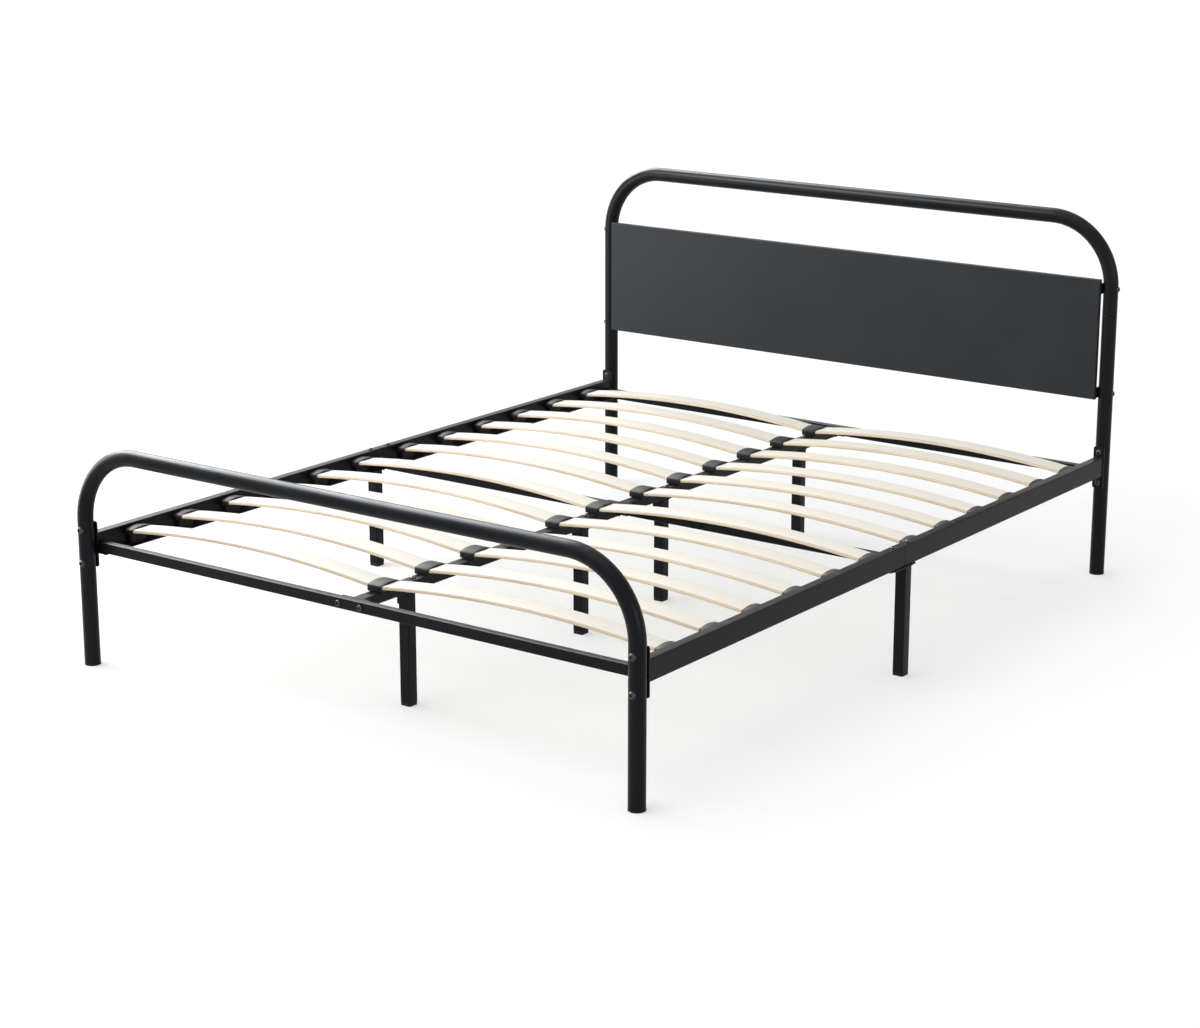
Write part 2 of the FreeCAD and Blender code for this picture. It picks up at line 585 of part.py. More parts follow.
# ---- bolts ----
def corner_bolts():
    bolts = []
    for side in (-1, 1):
        for z in CORNER_BOLT_Z:
            foot_base = Vector(side * POST_X, FOOT_Y - TUBE_REACH, z)
            foot_length = 2 * TUBE_REACH + END_PLATE_THICKNESS + NUT_HEIGHT + 1
            bolts.append(button_bolt(foot_base, Y_AXIS, foot_length))
            head_base = Vector(side * POST_X, HEAD_Y - TUBE_REACH - END_PLATE_THICKNESS, z)
            bolts.append(button_bolt(head_base, Y_AXIS, 18))
    return Part.makeCompound(bolts)


def rail_joint_bolts():
    bolts = []
    for x in (-POST_X, POST_X):
        for sign in (-1, 1):
            base = Vector(x, MID_Y + sign * RAIL_JOINT_BOLT_OFFSET, RAIL_TOP_Z)
            bolts.append(button_bolt(base, -Z_AXIS, 12))
    return Part.makeCompound(bolts)


def side_leg_bolts():
    bolts = []
    for x in (-POST_X, POST_X):
        for sign in (-1, 1):
            base = Vector(x, MID_Y + sign * SIDE_LEG_BOLT_OFFSET, RAIL_BOTTOM_Z - SIDE_LEG_PLATE[2])
            bolts.append(button_bolt(base, Z_AXIS, 14))
    return Part.makeCompound(bolts)


def centre_leg_bolts():
    bolts = []
    for y in CENTRE_LEG_Y:
        place = Vector(0, MID_Y + y + CENTRE_LEG_BOLT_OFFSET, CENTRE_RAIL_TOP_Z)
        bolts.append(button_bolt(place, -Z_AXIS, CENTRE_RAIL_HEIGHT + 10))
    return Part.makeCompound(bolts)


def crossbar_bolts():
    """Two bolts join each cross bar to the centre rail's plates, and one to each rail flange."""
    bolts = []
    half = CROSSBAR_DEPTH / 2
    t = CENTRE_PLATE_THICKNESS
    for side in (-1, 1):
        x = side * CROSSBAR_BOLT_X
        reach = CROSSBAR_DEPTH + t + NUT_HEIGHT + 1
        bolts.append(button_bolt(Vector(x, FOOT_BAR_Y - half, CROSSBAR_BOLT_Z), Y_AXIS, reach))
        bolts.append(button_bolt(Vector(x, MID_BAR_Y - half - t, CROSSBAR_BOLT_Z), Y_AXIS, reach + t))
        bolts.append(button_bolt(Vector(x, HEAD_BAR_Y + half, CROSSBAR_BOLT_Z), -Y_AXIS, reach))
        for y in (FOOT_BAR_Y, MID_BAR_Y, HEAD_BAR_Y):
            base = Vector(side * FLANGE_BOLT_X, y, RAIL_BOTTOM_Z)
            bolts.append(button_bolt(base, Z_AXIS, 12))
    return Part.makeCompound(bolts)


def panel_bolts():
    bolts = []
    length = 2 * TUBE_REACH + BRACKET_THICKNESS + NUT_HEIGHT + 1
    for z in PANEL_BOLT_Z:
        bolt = button_bolt(Vector(POST_X + TUBE_REACH, HEAD_Y, z), -X_AXIS, length)
        bolts += [bolt, mirror_x(bolt)]
    return Part.makeCompound(bolts)


# ---- write every piece ----
SIDES = (("left", -1), ("right", 1))

save("head_hoop", head_hoop())
save("foot_hoop", foot_hoop())
save("head_panel", head_panel())
save("panel_brackets", Part.makeCompound([panel_bracket(s, z) for (_, s) in SIDES for z in PANEL_BOLT_Z]))
for (name, side) in SIDES:
    save("head_post_" + name, head_post(side))
    save("foot_post_" + name, foot_post(side))
    save("side_rail_foot_" + name, side_rail_foot(side))
    save("side_rail_head_" + name, side_rail_head(side))
    save("rail_joiner_" + name, rail_joiner(side))
    save("side_leg_" + name, side_leg(side))
    save("slat_end_caps_" + name, Part.makeCompound([slat_end_cap(side, y) for y in SLAT_ROWS_Y]))
    for (row, y) in enumerate(SLAT_ROWS_Y, 1):
        save("slat_%s_%02d" % (name, row), slat(side, y))

save("foot_crossbar", crossbar(FOOT_BAR_Y))
save("mid_crossbar", crossbar(MID_BAR_Y))
save("head_crossbar", crossbar(HEAD_BAR_Y))
BAR_HALF = CROSSBAR_DEPTH / 2
LEG_ROWS = [MID_Y + y for y in CENTRE_LEG_Y]
save("centre_rail_foot", centre_rail(FOOT_BAR_Y + BAR_HALF, MID_BAR_Y - BAR_HALF, LEG_ROWS[:2], (1,)))
save("centre_rail_head", centre_rail(MID_BAR_Y + BAR_HALF, HEAD_BAR_Y - BAR_HALF, LEG_ROWS[2:], (1, -1)))
for (number, y) in enumerate(LEG_ROWS, 1):
    save("centre_leg_%d" % number, centre_leg(y))
save("centre_slat_holders", Part.makeCompound([slat_saddle(y) for y in SLAT_ROWS_Y]))

POST_PLACES = [(s * POST_X, y) for (_, s) in SIDES for y in (FOOT_Y, HEAD_Y)]
save("post_foot_caps", Part.makeCompound([post_foot_cap(x, y) for (x, y) in POST_PLACES]))
LEG_PLACES = [(s * POST_X, MID_Y + s * SIDE_LEG_OFFSET_Y) for (_, s) in SIDES] + [(0, y) for y in LEG_ROWS]
save("leg_foot_caps", Part.makeCompound([leg_foot_cap(x, y) for (x, y) in LEG_PLACES]))

save("corner_bolts", corner_bolts())
save("rail_joint_bolts", rail_joint_bolts())
save("side_leg_bolts", side_leg_bolts())
save("centre_leg_bolts", centre_leg_bolts())
save("crossbar_bolts", crossbar_bolts())
save("panel_bolts", panel_bolts())
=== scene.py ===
from math import asin, atan, copysign, cos, hypot, pi, radians, sin, sqrt, tan

import bmesh
import bpy
from mathutils import Matrix, Vector


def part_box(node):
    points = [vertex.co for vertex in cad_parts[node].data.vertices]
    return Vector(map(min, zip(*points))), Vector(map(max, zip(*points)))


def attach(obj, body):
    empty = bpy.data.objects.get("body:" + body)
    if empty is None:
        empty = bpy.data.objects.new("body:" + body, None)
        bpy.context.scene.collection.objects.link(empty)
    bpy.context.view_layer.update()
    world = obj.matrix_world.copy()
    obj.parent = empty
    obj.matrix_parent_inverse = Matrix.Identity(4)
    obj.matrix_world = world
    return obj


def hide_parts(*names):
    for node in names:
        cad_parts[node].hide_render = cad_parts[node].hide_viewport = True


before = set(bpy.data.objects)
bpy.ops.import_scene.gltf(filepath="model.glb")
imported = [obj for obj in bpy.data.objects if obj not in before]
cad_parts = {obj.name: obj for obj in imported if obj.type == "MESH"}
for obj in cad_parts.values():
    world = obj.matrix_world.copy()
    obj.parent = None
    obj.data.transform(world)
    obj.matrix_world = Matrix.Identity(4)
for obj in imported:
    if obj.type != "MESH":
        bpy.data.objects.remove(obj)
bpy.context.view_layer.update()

bl_info = {
    "name": "Slatted Metal Bed Frame",
    "version": (1, 0, 0),
    "blender": (4, 5, 0),
    "location": "3D View > Sidebar > Bed Frame",
    "description": "Finishes a bolt-together metal bed frame with bowed wooden slats",
    "category": "Object",
}

MM = 0.001
BODY = "root"
SIDES = ("left", "right")
ACROSS = Vector((1, 0, 0))
ALONG = Vector((0, 1, 0))
UP = Vector((0, 0, 1))
WHITE = (1, 1, 1, 1)


# ---- places read from the frame ----
def node_box(node):
    """The lowest and highest corners of a CAD node, as vectors."""
    (low, high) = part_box(node)
    return Vector(low), Vector(high)


def node_centre(node):
    """The middle of a CAD node's box."""
    (low, high) = node_box(node)
    return (low + high) / 2


def points_box(points):
    """The lowest and highest corners of a list of points."""
    low = Vector([min(point[axis] for point in points) for axis in range(3)])
    high = Vector([max(point[axis] for point in points) for axis in range(3)])
    return low, high


def floor_middle(points):
    """The floor point under the middle of a list of points."""
    (low, high) = points_box(points)
    return Vector(((low.x + high.x) / 2, (low.y + high.y) / 2, 0))


def merged_copy(node, distance):
    """A bmesh copy of a CAD node, whose loose triangles are joined."""
    shape = bmesh.new()
    shape.from_mesh(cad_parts[node].data)
    bmesh.ops.remove_doubles(shape, verts=shape.verts, dist=distance)
    return shape


def solids_in(node):
    """The corners of each separate solid in one CAD node, as lists of points."""
    shape = merged_copy(node, 0.02 * MM)
    left = set(shape.verts)
    groups = []
    while left:
        queue = [left.pop()]
        group = []
        while queue:
            vert = queue.pop()
            group.append(vert.co.copy())
            for edge in vert.link_edges:
                other = edge.other_vert(vert)
                if other in left:
                    left.remove(other)
                    queue.append(other)
        groups.append(group)
    shape.free()
    groups.sort(key=lambda points: tuple(round(value, 4) for value in points_box(points)[0]))
    return groups


SLAT_NODES = ["slat_%s_%02d" % (side, row) for side in SIDES for row in range(1, 13)]
(SLAT_LOW, SLAT_HIGH) = node_box("slat_right_01")
SLAT_HALF_SPAN = (SLAT_HIGH.x - SLAT_LOW.x) / 2
TUBE_FLAT = (node_box("head_hoop")[1].y - node_box("head_hoop")[0].y) / 2


# ---- settings ----
def length(name, description, millimetres):
    """A size, given in millimetres and kept in metres."""
    default = millimetres * MM
    return bpy.props.FloatProperty(name=name, description=description, default=default, unit="LENGTH")


def tint(name, description, default):
    """A linear colour."""
    return bpy.props.FloatVectorProperty(
        name=name, description=description, default=default, subtype="COLOR", size=3, min=0.0, max=1.0,
    )


def light(name, description, default, unit="NONE"):
    """The strength or the power of a light."""
    return bpy.props.FloatProperty(name=name, description=description, default=default, min=0.0, unit=unit)


def turned_by(name, description, degrees):
    """An angle, given in degrees and kept in radians."""
    return bpy.props.FloatProperty(
        name=name, description=description, default=radians(degrees), subtype="ANGLE", unit="ROTATION",
    )


class BedFinishSettings(bpy.types.PropertyGroup):
    frame_colour: tint("Frame colour", "Powder coat of the tubes and rails", (0.0066, 0.0076, 0.0096))
    panel_colour: tint("Panel colour", "Powder coat of the head panel", (0.0245, 0.0290, 0.0340))
    wood_colour: tint("Wood colour", "Face veneer of the slats", (0.91, 0.88, 0.80))
    ply_colour: tint("Ply colour", "Cut edges of the slats", (0.90, 0.69, 0.49))
    plastic_colour: tint("Plastic colour", "Slat holders and foot caps", (0.0200, 0.0185, 0.0198))
    bolt_colour: tint("Bolt colour", "Black oxide on the bolts", (0.050, 0.051, 0.055))


class BedTubeSettings(bpy.types.PropertyGroup):
    radius: length("Tube radius", "Outer radius of posts and hoops", 19.0)
    bend_radius: length("Bend radius", "Radius of the hoops' bends", 172.0)
    seam_chamfer: length("Seam chamfer", "Rounding of each tube end", 1.5)
    edge_round: length("Edge rounding", "Rounding of sheet edges", 0.5)
    weld_radius: length("Weld radius", "Radius of the weld beads", 1.7)


class BedSlatSettings(bpy.types.PropertyGroup):
    width: length("Width", "Width of a slat", (SLAT_HIGH.y - SLAT_LOW.y) / MM)
    thickness: length("Thickness", "Thickness of a slat", 8.0)
    bow: length("Bow", "Rise of the middle over the ends", 25.0)
    edge_round: length("Edge rounding", "Radius along the long edges", 2.6)
    plies: bpy.props.IntProperty(name="Plies", description="Layers of veneer", default=6, min=2, max=12)


class BedHolderSettings(bpy.types.PropertyGroup):
    lip: length("Lip", "Rounding of the mouth's rim", 1.2)
    play: length("Play", "Room round a slat in its pocket", 0.4)


class BedBoltSettings(bpy.types.PropertyGroup):
    head_radius: length("Head radius", "Radius of a button head", 7.0)
    head_height: length("Head height", "Height of a button head", 4.4)
    shank_radius: length("Shank radius", "Radius of a shank", 3.4)
    socket_flat: length("Socket", "Half the width across the socket's flats", 3.2)
    socket_depth: length("Socket depth", "Depth of the hex socket", 3.2)
    washer_radius: length("Washer radius", "Radius of the saddle washers on the posts", 8.8)
    washer_thickness: length("Washer thickness", "Thickness of a saddle washer", 1.4)


class BedStageSettings(bpy.types.PropertyGroup):
    camera_place: bpy.props.FloatVectorProperty(
        name="Camera place", description="Where the camera stands", default=(3.737, -5.190, 2.022),
        subtype="TRANSLATION", unit="LENGTH", size=3,
    )
    camera_turn: turned_by("Camera turn", "Turn from straight along the bed", 36.23)
    camera_tilt: turned_by("Camera tilt", "Look down from level", 15.37)
    camera_lens: bpy.props.FloatProperty(
        name="Lens", description="Focal length on a 36 mm sensor", default=80.685, unit="CAMERA",
    )
    floor_colour: tint("Floor colour", "Colour of the floor", (0.60, 0.60, 0.60))
    floor_glow: light("Floor glow", "Light that the floor adds to its own picture only", 0.44)
    sky_light: light("Sky light", "Strength of the even light from all round", 0.34)
    key_strength: light("Key light", "Strength of the broad light from overhead", 1.6)
    front_strength: light("Front light", "Strength of the broad light from the foot end", 0.85)
    shine_strength: light("Shine", "Strength of the light behind the bed that only shows as gloss", 6.0)
    band_power: light("Band light", "Power of the light above that only shows as gloss", 150.0, "POWER")
    fill_power: light("Fill light", "Power of the soft light at the left", 30.0, "POWER")


# ---- node helpers ----
def with_facts(thing, **facts):
    """Sets properties of a node, a light or the like, and returns it."""
    for (name, value) in facts.items():
        setattr(thing, name, value)
    return thing


def put(tree, value, socket):
    """Links a socket, or a node's first output, to an input. A plain value is set."""
    if isinstance(value, bpy.types.Node):
        value = value.outputs[0]
    if isinstance(value, bpy.types.NodeSocket):
        tree.links.new(value, socket)
    else:
        socket.default_value = value


def feed(tree, node, **inputs):
    """Sets or links a node's inputs. A key is the input's name, with _ for a space."""
    for (key, value) in inputs.items():
        put(tree, value, node.inputs[key.replace("_", " ")])
    return node


def add_node(tree, kind, facts=(), **inputs):
    """Adds one node. Facts are pairs of its own properties and their values."""
    return feed(tree, with_facts(tree.nodes.new(kind), **dict(facts)), **inputs)


def maths(tree, operation, *values):
    """One Math node."""
    node = add_node(tree, "ShaderNodeMath", [("operation", operation)])
    for (value, socket) in zip(values, node.inputs):
        put(tree, value, socket)
    return node


def ramp(tree, value, low, high, start=0.0, end=1.0):
    """Maps a value from one range to another, smoothly and clamped."""
    node = add_node(tree, "ShaderNodeMapRange", [("interpolation_type", "SMOOTHSTEP")])
    for (number, socket) in zip((value, low, high, start, end), node.inputs):
        put(tree, number, socket)
    return node


def blend(tree, factor, first, second):
    """Mixes two colours. Returns the result socket."""
    node = add_node(tree, "ShaderNodeMix", [("data_type", "RGBA")])
    for (index, value) in ((0, factor), (6, first), (7, second)):
        put(tree, value, node.inputs[index])
    return node.outputs[2]


def new_group(name, kind, inputs, outputs):
    """An empty node group with named sockets. Returns the tree, its inputs and its output node."""
    tree = bpy.data.node_groups.new(name, kind)
    for (way, sockets) in (("INPUT", inputs), ("OUTPUT", outputs)):
        for (label, socket) in sockets.items():
            label = label.replace("_", " ")
            tree.interface.new_socket(name=label, in_out=way, socket_type="NodeSocket" + socket)
    return tree, tree.nodes.new("NodeGroupInput").outputs, tree.nodes.new("NodeGroupOutput")


def noise(tree, vector, scale, detail=2.0, rough=0.5):
    """A noise pattern, whose first output is its value."""
    return add_node(tree, "ShaderNodeTexNoise", Vector=vector, Scale=scale, Detail=detail, Roughness=rough)


def stretched(tree, vector, scale):
    """Coordinates that are scaled along each axis."""
    return add_node(tree, "ShaderNodeMapping", Vector=vector, Scale=scale)


def shaded(colour, *factors):
    """A colour with each channel scaled, up to 1 at most."""
    return (*[min(channel * factor, 1) for (channel, factor) in zip(colour, factors)], 1)


# ---- finishes ----
FRAME_COAT = {"Peel_Size": 700.0, "Dust": 0.5, "Gloss": 0.30, "Drift": 0.14}
PANEL_COAT = {"Peel_Size": 520.0, "Dust": 0.5, "Gloss": 0.42, "Drift": 0.04}
PLASTIC = {"Peel_Size": 1500.0, "Dust": 0.6, "Gloss": 0.50, "Drift": 0.14}
DUST_COLOUR = (0.35, 0.34, 0.32, 1)
SPECK_COLOUR = (0.30, 0.31, 0.33, 1)
PORE_COLOUR = (0.60, 0.46, 0.31, 1)
KNOT_COLOUR = (0.22, 0.12, 0.06, 1)
GLUE_COLOUR = (0.16, 0.09, 0.04, 1)
EDGE_STREAK_COLOUR = (0.42, 0.27, 0.14, 1)
# Painted shade: the colour that darkens the lower rounding of the slats' cut edges.
LOWER_EDGE_SHADE_COLOUR = (0.30, 0.18, 0.10, 1)


def coat_group():
    """Powder coat: orange peel, a faint drift of tone, dust on what faces up and a few pale specks."""
    inputs = {"Place": "Vector", "Colour": "Color"}
    for name in ("Peel_Size", "Dust", "Gloss", "Drift"):
        inputs[name] = "Float"
    outputs = {"Colour": "Color", "Roughness": "Float", "Height": "Float"}
    (tree, given, out) = new_group("bed_coat", "ShaderNodeTree", inputs, outputs)
    place = given["Place"]
    drift = noise(tree, place, 6.0, 3.0)
    peel = noise(tree, place, given["Peel Size"], 1.0)
    speck = noise(tree, place, 2600.0, 0.0)
    tone = maths(tree, "MULTIPLY", ramp(tree, drift, 0.3, 0.7, -1.0, 1.0), given["Drift"])
    tone = maths(tree, "ADD", tone, 1.0)
    toned = add_node(tree, "ShaderNodeVectorMath", [("operation", "SCALE")], Scale=tone)
    feed(tree, toned, Vector=given["Colour"])
    facing = add_node(tree, "ShaderNodeNewGeometry").outputs["Normal"]
    upward = ramp(tree, add_node(tree, "ShaderNodeSeparateXYZ", Vector=facing).outputs["Z"], 0.55, 1.0)
    cloud = ramp(tree, noise(tree, place, 38.0, 4.0, 0.65), 0.42, 0.72)
    dust = maths(tree, "MULTIPLY", maths(tree, "MULTIPLY", upward, cloud), given["Dust"])
    dusty = blend(tree, maths(tree, "MULTIPLY", dust, 0.12), toned, DUST_COLOUR)
    flecked = blend(tree, ramp(tree, speck, 0.74, 0.80, 0.0, 0.10), dusty, SPECK_COLOUR)
    rough = maths(tree, "ADD", given["Gloss"], ramp(tree, drift, 0.25, 0.75, -0.04, 0.05))
    rough = maths(tree, "ADD", rough, maths(tree, "MULTIPLY", dust, 0.2))
    height = maths(tree, "ADD", peel, maths(tree, "MULTIPLY", speck, 0.3))
    feed(tree, out, Colour=flecked, Roughness=rough, Height=height)
    return tree


def start_material(name):
    """A material with a Principled shader. Returns its tree, the shader and the object coordinates."""
    material = bpy.data.materials.new(name)
    material.use_nodes = True
    tree = material.node_tree
    place = add_node(tree, "ShaderNodeTexCoord").outputs["Object"]
    return tree, tree.nodes["Principled BSDF"], place


def add_bump(tree, shader, height, strength, distance):
    """Raises a material's surface by a height that changes over it."""
    bump = add_node(tree, "ShaderNodeBump", Height=height, Strength=strength, Distance=distance)
    feed(tree, shader, Normal=bump)


def coated_material(name, group, colour, specular, bump, **facts):
    """One coating. Facts are the inputs of the coat group, where a higher Gloss is rougher."""
    (tree, shader, place) = start_material(name)
    coat = add_node(tree, "ShaderNodeGroup", [("node_tree", group)])
    feed(tree, coat, Place=place, Colour=(*colour, 1), **facts)
    feed(tree, shader, Base_Color=coat.outputs["Colour"], Roughness=coat.outputs["Roughness"])
    feed(tree, shader, Specular_IOR_Level=specular)
    add_bump(tree, shader, coat.outputs["Height"], bump, 0.05 * MM)


def wood_material(name, finish, plies):
    """Rotary-cut birch: a pale face with fine streaks and rare knots, and layered plies on the cut edges."""
    (tree, shader, _) = start_material(name)
    (along, across, through, slat) = [
        add_node(tree, "ShaderNodeAttribute", [("attribute_name", label)]).outputs["Fac"]
        for label in ("along", "across", "through", "slat")
    ]
    shift = maths(tree, "MULTIPLY", slat, 7.31)
    place = add_node(tree, "ShaderNodeCombineXYZ", X=maths(tree, "ADD", along, shift), Y=across, Z=shift)
    streak = noise(tree, stretched(tree, place, (3.0, 60.0, 1.0)), 1.6, 5.0, 0.62)
    pore = noise(tree, stretched(tree, place, (14.0, 620.0, 1.0)), 1.0, 2.0, 0.5)
    mottle = noise(tree, place, 9.0, 3.0, 0.6)
    own_tone = maths(tree, "FRACT", maths(tree, "MULTIPLY", slat, 0.618))
    spread = stretched(tree, place, (2.1, 9.0, 1.0))
    knots = add_node(tree, "ShaderNodeTexVoronoi", Vector=spread, Scale=1.0)
    darker = shaded(finish.wood_colour, 0.93, 0.86, 0.75)
    face = (*finish.wood_colour, 1)
    for (stain, *span) in (
        (darker, streak, 0.38, 0.74, 0.0, 0.55), (darker, mottle, 0.45, 0.75, 0.0, 0.30),
        (PORE_COLOUR, pore, 0.60, 0.75, 0.0, 0.16), (darker, own_tone, 0.0, 1.0, 0.0, 0.22),
        (KNOT_COLOUR, knots, 0.012, 0.045, 0.75, 0.0),
    ):
        face = blend(tree, ramp(tree, *span), face, stain)
    layer = maths(tree, "MULTIPLY", maths(tree, "ADD", through, 0.5), float(plies))
    odd = maths(tree, "MODULO", maths(tree, "FLOOR", layer), 2.0)
    within = maths(tree, "FRACT", layer)
    glue_below = ramp(tree, within, 0.0, 0.14, 0.55, 0.0)
    glue = maths(tree, "MAXIMUM", glue_below, ramp(tree, within, 0.86, 1.0, 0.0, 0.55))
    edge = blend(tree, odd, (*finish.ply_colour, 1), shaded(finish.ply_colour, 1.28, 1.36, 1.5))
    edge = blend(tree, maths(tree, "MULTIPLY", glue, 0.6), edge, GLUE_COLOUR)
    edge = blend(tree, ramp(tree, streak, 0.4, 0.7, 0.0, 0.3), edge, EDGE_STREAK_COLOUR)
    # Painted shade: each cut edge gets darker towards its lower rounding, which faces down and away from the
    # light.
    edge = blend(tree, ramp(tree, through, -0.5, -0.28, 0.8, 0.0), edge, LOWER_EDGE_SHADE_COLOUR)
    rim = ramp(tree, maths(tree, "ABSOLUTE", across), 0.462, 0.476)
    feed(tree, shader, Base_Color=blend(tree, rim, face, edge), Specular_IOR_Level=0.22)
    feed(tree, shader, Roughness=ramp(tree, streak, 0.3, 0.7, 0.42, 0.58))
    grooves = maths(tree, "ADD", maths(tree, "MULTIPLY", pore, 0.5), maths(tree, "MULTIPLY", glue, rim))
    add_bump(tree, shader, maths(tree, "SUBTRACT", 1.0, grooves), 0.35, 0.12 * MM)


def bolt_material(name, colour):
    """Black oxide: dark and oily, with a fine grain and worn high spots."""
    (tree, shader, place) = start_material(name)
    wear = noise(tree, place, 420.0, 4.0, 0.6)
    worn = blend(tree, ramp(tree, wear, 0.52, 0.72), (*colour, 1), shaded(colour, 3.2, 3.2, 3.2))
    feed(tree, shader, Base_Color=worn, Roughness=ramp(tree, wear, 0.3, 0.7, 0.22, 0.38), Metallic=0.85)
    add_bump(tree, shader, noise(tree, place, 3200.0, 1.0), 0.12, 0.03 * MM)


class BED_OT_finishes(bpy.types.Operator):
    """Makes the materials of the metal, the wood, the plastic and the bolts."""

    bl_idname = "bed.finishes"
    bl_label = "Make Finishes"

    def execute(self, context):
        finish = context.scene.bed_finish
        coat = coat_group()
        coated_material("frame_coat", coat, finish.frame_colour, specular=0.10, bump=0.22, **FRAME_COAT)
        coated_material("panel_coat", coat, finish.panel_colour, specular=0.14, bump=0.20, **PANEL_COAT)
        coated_material("moulded_plastic", coat, finish.plastic_colour, specular=0.11, bump=0.35, **PLASTIC)
        wood_material("birch_ply", finish, context.scene.bed_slats.plies)
        bolt_material("black_oxide", finish.bolt_colour)
        return {"FINISHED"}


def new_object(name, data):
    """An object in the scene's own collection."""
    made = bpy.data.objects.new(name, data)
    bpy.context.scene.collection.objects.link(made)
    return made


def add_piece(name, mesh, material, nodes=()):
    """Adds a finished mesh to the bed and lets it stand for CAD nodes."""
    piece = new_object(name, mesh)
    mesh.materials.clear()
    mesh.materials.append(bpy.data.materials[material])
    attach(piece, BODY)
    if nodes:
        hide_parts(*nodes)


def plain_mesh(shape, name):
    """Turns a bmesh into a mesh."""
    mesh = bpy.data.meshes.new(name)
    shape.to_mesh(mesh)
    shape.free()
    return mesh


def smooth_below(mesh, angle):
    """Shades a mesh smooth, apart from edges that are sharper than the angle."""
    mesh.shade_smooth()
    mesh.set_sharp_from_angle(angle=radians(angle))


def mesh_of(shape, name, angle):
    """Turns a bmesh into a mesh with its faces outwards, smooth below the angle."""
    bmesh.ops.recalc_face_normals(shape, faces=shape.faces)
    mesh = plain_mesh(shape, name)
    smooth_below(mesh, angle)
    return mesh


def ring(shape, points):
    """New corners of a bmesh at the given points."""
    return [shape.verts.new(point) for point in points]


def skin(shape, rings):
    """Quads from each ring to the next, which has the same number of corners."""
    for (first, second) in zip(rings, rings[1:]):
        for index in range(len(first)):
            after = (index + 1) % len(first)
            shape.faces.new((first[index], first[after], second[after], second[index]))


def full_turn(sides):
    """The angles of the corners of a regular outline."""
    return [2 * pi * index / sides for index in range(sides)]


def circle(radius, height, turns):
    """Points round the upright axis."""
    return [Vector((radius * cos(turn), radius * sin(turn), height)) for turn in turns]


def add_bevel(source, width, angle):
    """A live rounding of each edge that is sharper than the angle."""
    bevel = source.modifiers.new("edges", "BEVEL")
    return with_facts(bevel, width=width, segments=2, limit_method="ANGLE", angle_limit=radians(angle))


def result_mesh(source, name):
    """The evaluated mesh of an object, as plain data. The object itself goes."""
    depsgraph = bpy.context.evaluated_depsgraph_get()
    mesh = bpy.data.meshes.new_from_object(source.evaluated_get(depsgraph), depsgraph=depsgraph)
    mesh.name = name
    bpy.data.objects.remove(source)
    return mesh


def grow(name, base, tree, material, rim_round=0.0, **inputs):
    """Runs a Geometry Nodes tree on a base mesh. A key is the input's name, with _ for a space."""
    inputs["Material"] = bpy.data.materials[material]
    source = new_object(name, base)
    modifier = source.modifiers.new("grow", "NODES")
    modifier.node_group = tree
    for item in tree.interface.items_tree:
        key = item.name.replace(" ", "_")
        if item.in_out == "INPUT" and key in inputs:
            modifier[item.identifier] = inputs[key]
    if rim_round > 0:
        add_bevel(source, rim_round, 60)
    return result_mesh(source, name)


def point_cloud(name, points, turns):
    """Loose points that carry the turn of the copy that stands there."""
    mesh = bpy.data.meshes.new(name)
    mesh.from_pydata([tuple(point) for point in points], [], [])
    turn = mesh.attributes.new("turn", "FLOAT_VECTOR", "POINT")
    for (index, angles) in enumerate(turns):
        turn.data[index].vector = angles
    return mesh


def new_geometry_tree(name, **inputs):
    """An empty Geometry Nodes tree with a mesh, a material and other named inputs."""
    inputs = {"Geometry": "Geometry", **inputs, "Material": "Material"}
    return new_group(name, "GeometryNodeTree", inputs, {"Geometry": "Geometry"})


def finish_tree(tree, given, out, geometry):
    """Ends a tree: its copies are made real and get their material."""
    real = add_node(tree, "GeometryNodeRealizeInstances", Geometry=geometry)
    coat = add_node(tree, "GeometryNodeSetMaterial", Geometry=real, Material=given["Material"])
    feed(tree, out, Geometry=coat)


def copies_on_points(tree, points, template):
    """A copy of a shape on each point, turned as the point says."""
    stored = add_node(tree, "GeometryNodeInputNamedAttribute", [("data_type", "FLOAT_VECTOR")], Name="turn")
    turn = add_node(tree, "FunctionNodeEulerToRotation", Euler=stored)
    return add_node(tree, "GeometryNodeInstanceOnPoints", Points=points, Instance=template, Rotation=turn)


def copies_tree():
    """Puts a copy of a template on each point."""
    (tree, given, out) = new_geometry_tree("bed_copies", Template="Object")
    template = add_node(tree, "GeometryNodeObjectInfo", Object=given["Template"])
    copies = copies_on_points(tree, given["Geometry"], template.outputs["Geometry"])
    finish_tree(tree, given, out, copies)
    return tree


def add_copies(name, template_mesh, points, turns, material, nodes=()):
    """Adds one piece with a copy of the template at every point. A single turn holds for all."""
    tree = bpy.data.node_groups.get("bed_copies") or copies_tree()
    template = new_object(name + "_template", template_mesh)
    if len(turns) == 1:
        turns = turns * len(points)
    mesh = grow(name, point_cloud(name, points, turns), tree, material, Template=template)
    bpy.data.objects.remove(template)
    add_piece(name, mesh, material, nodes)


# ---- tubes ----
HOOP_BEND_STEPS = 28
TUBE_SIDES = 56


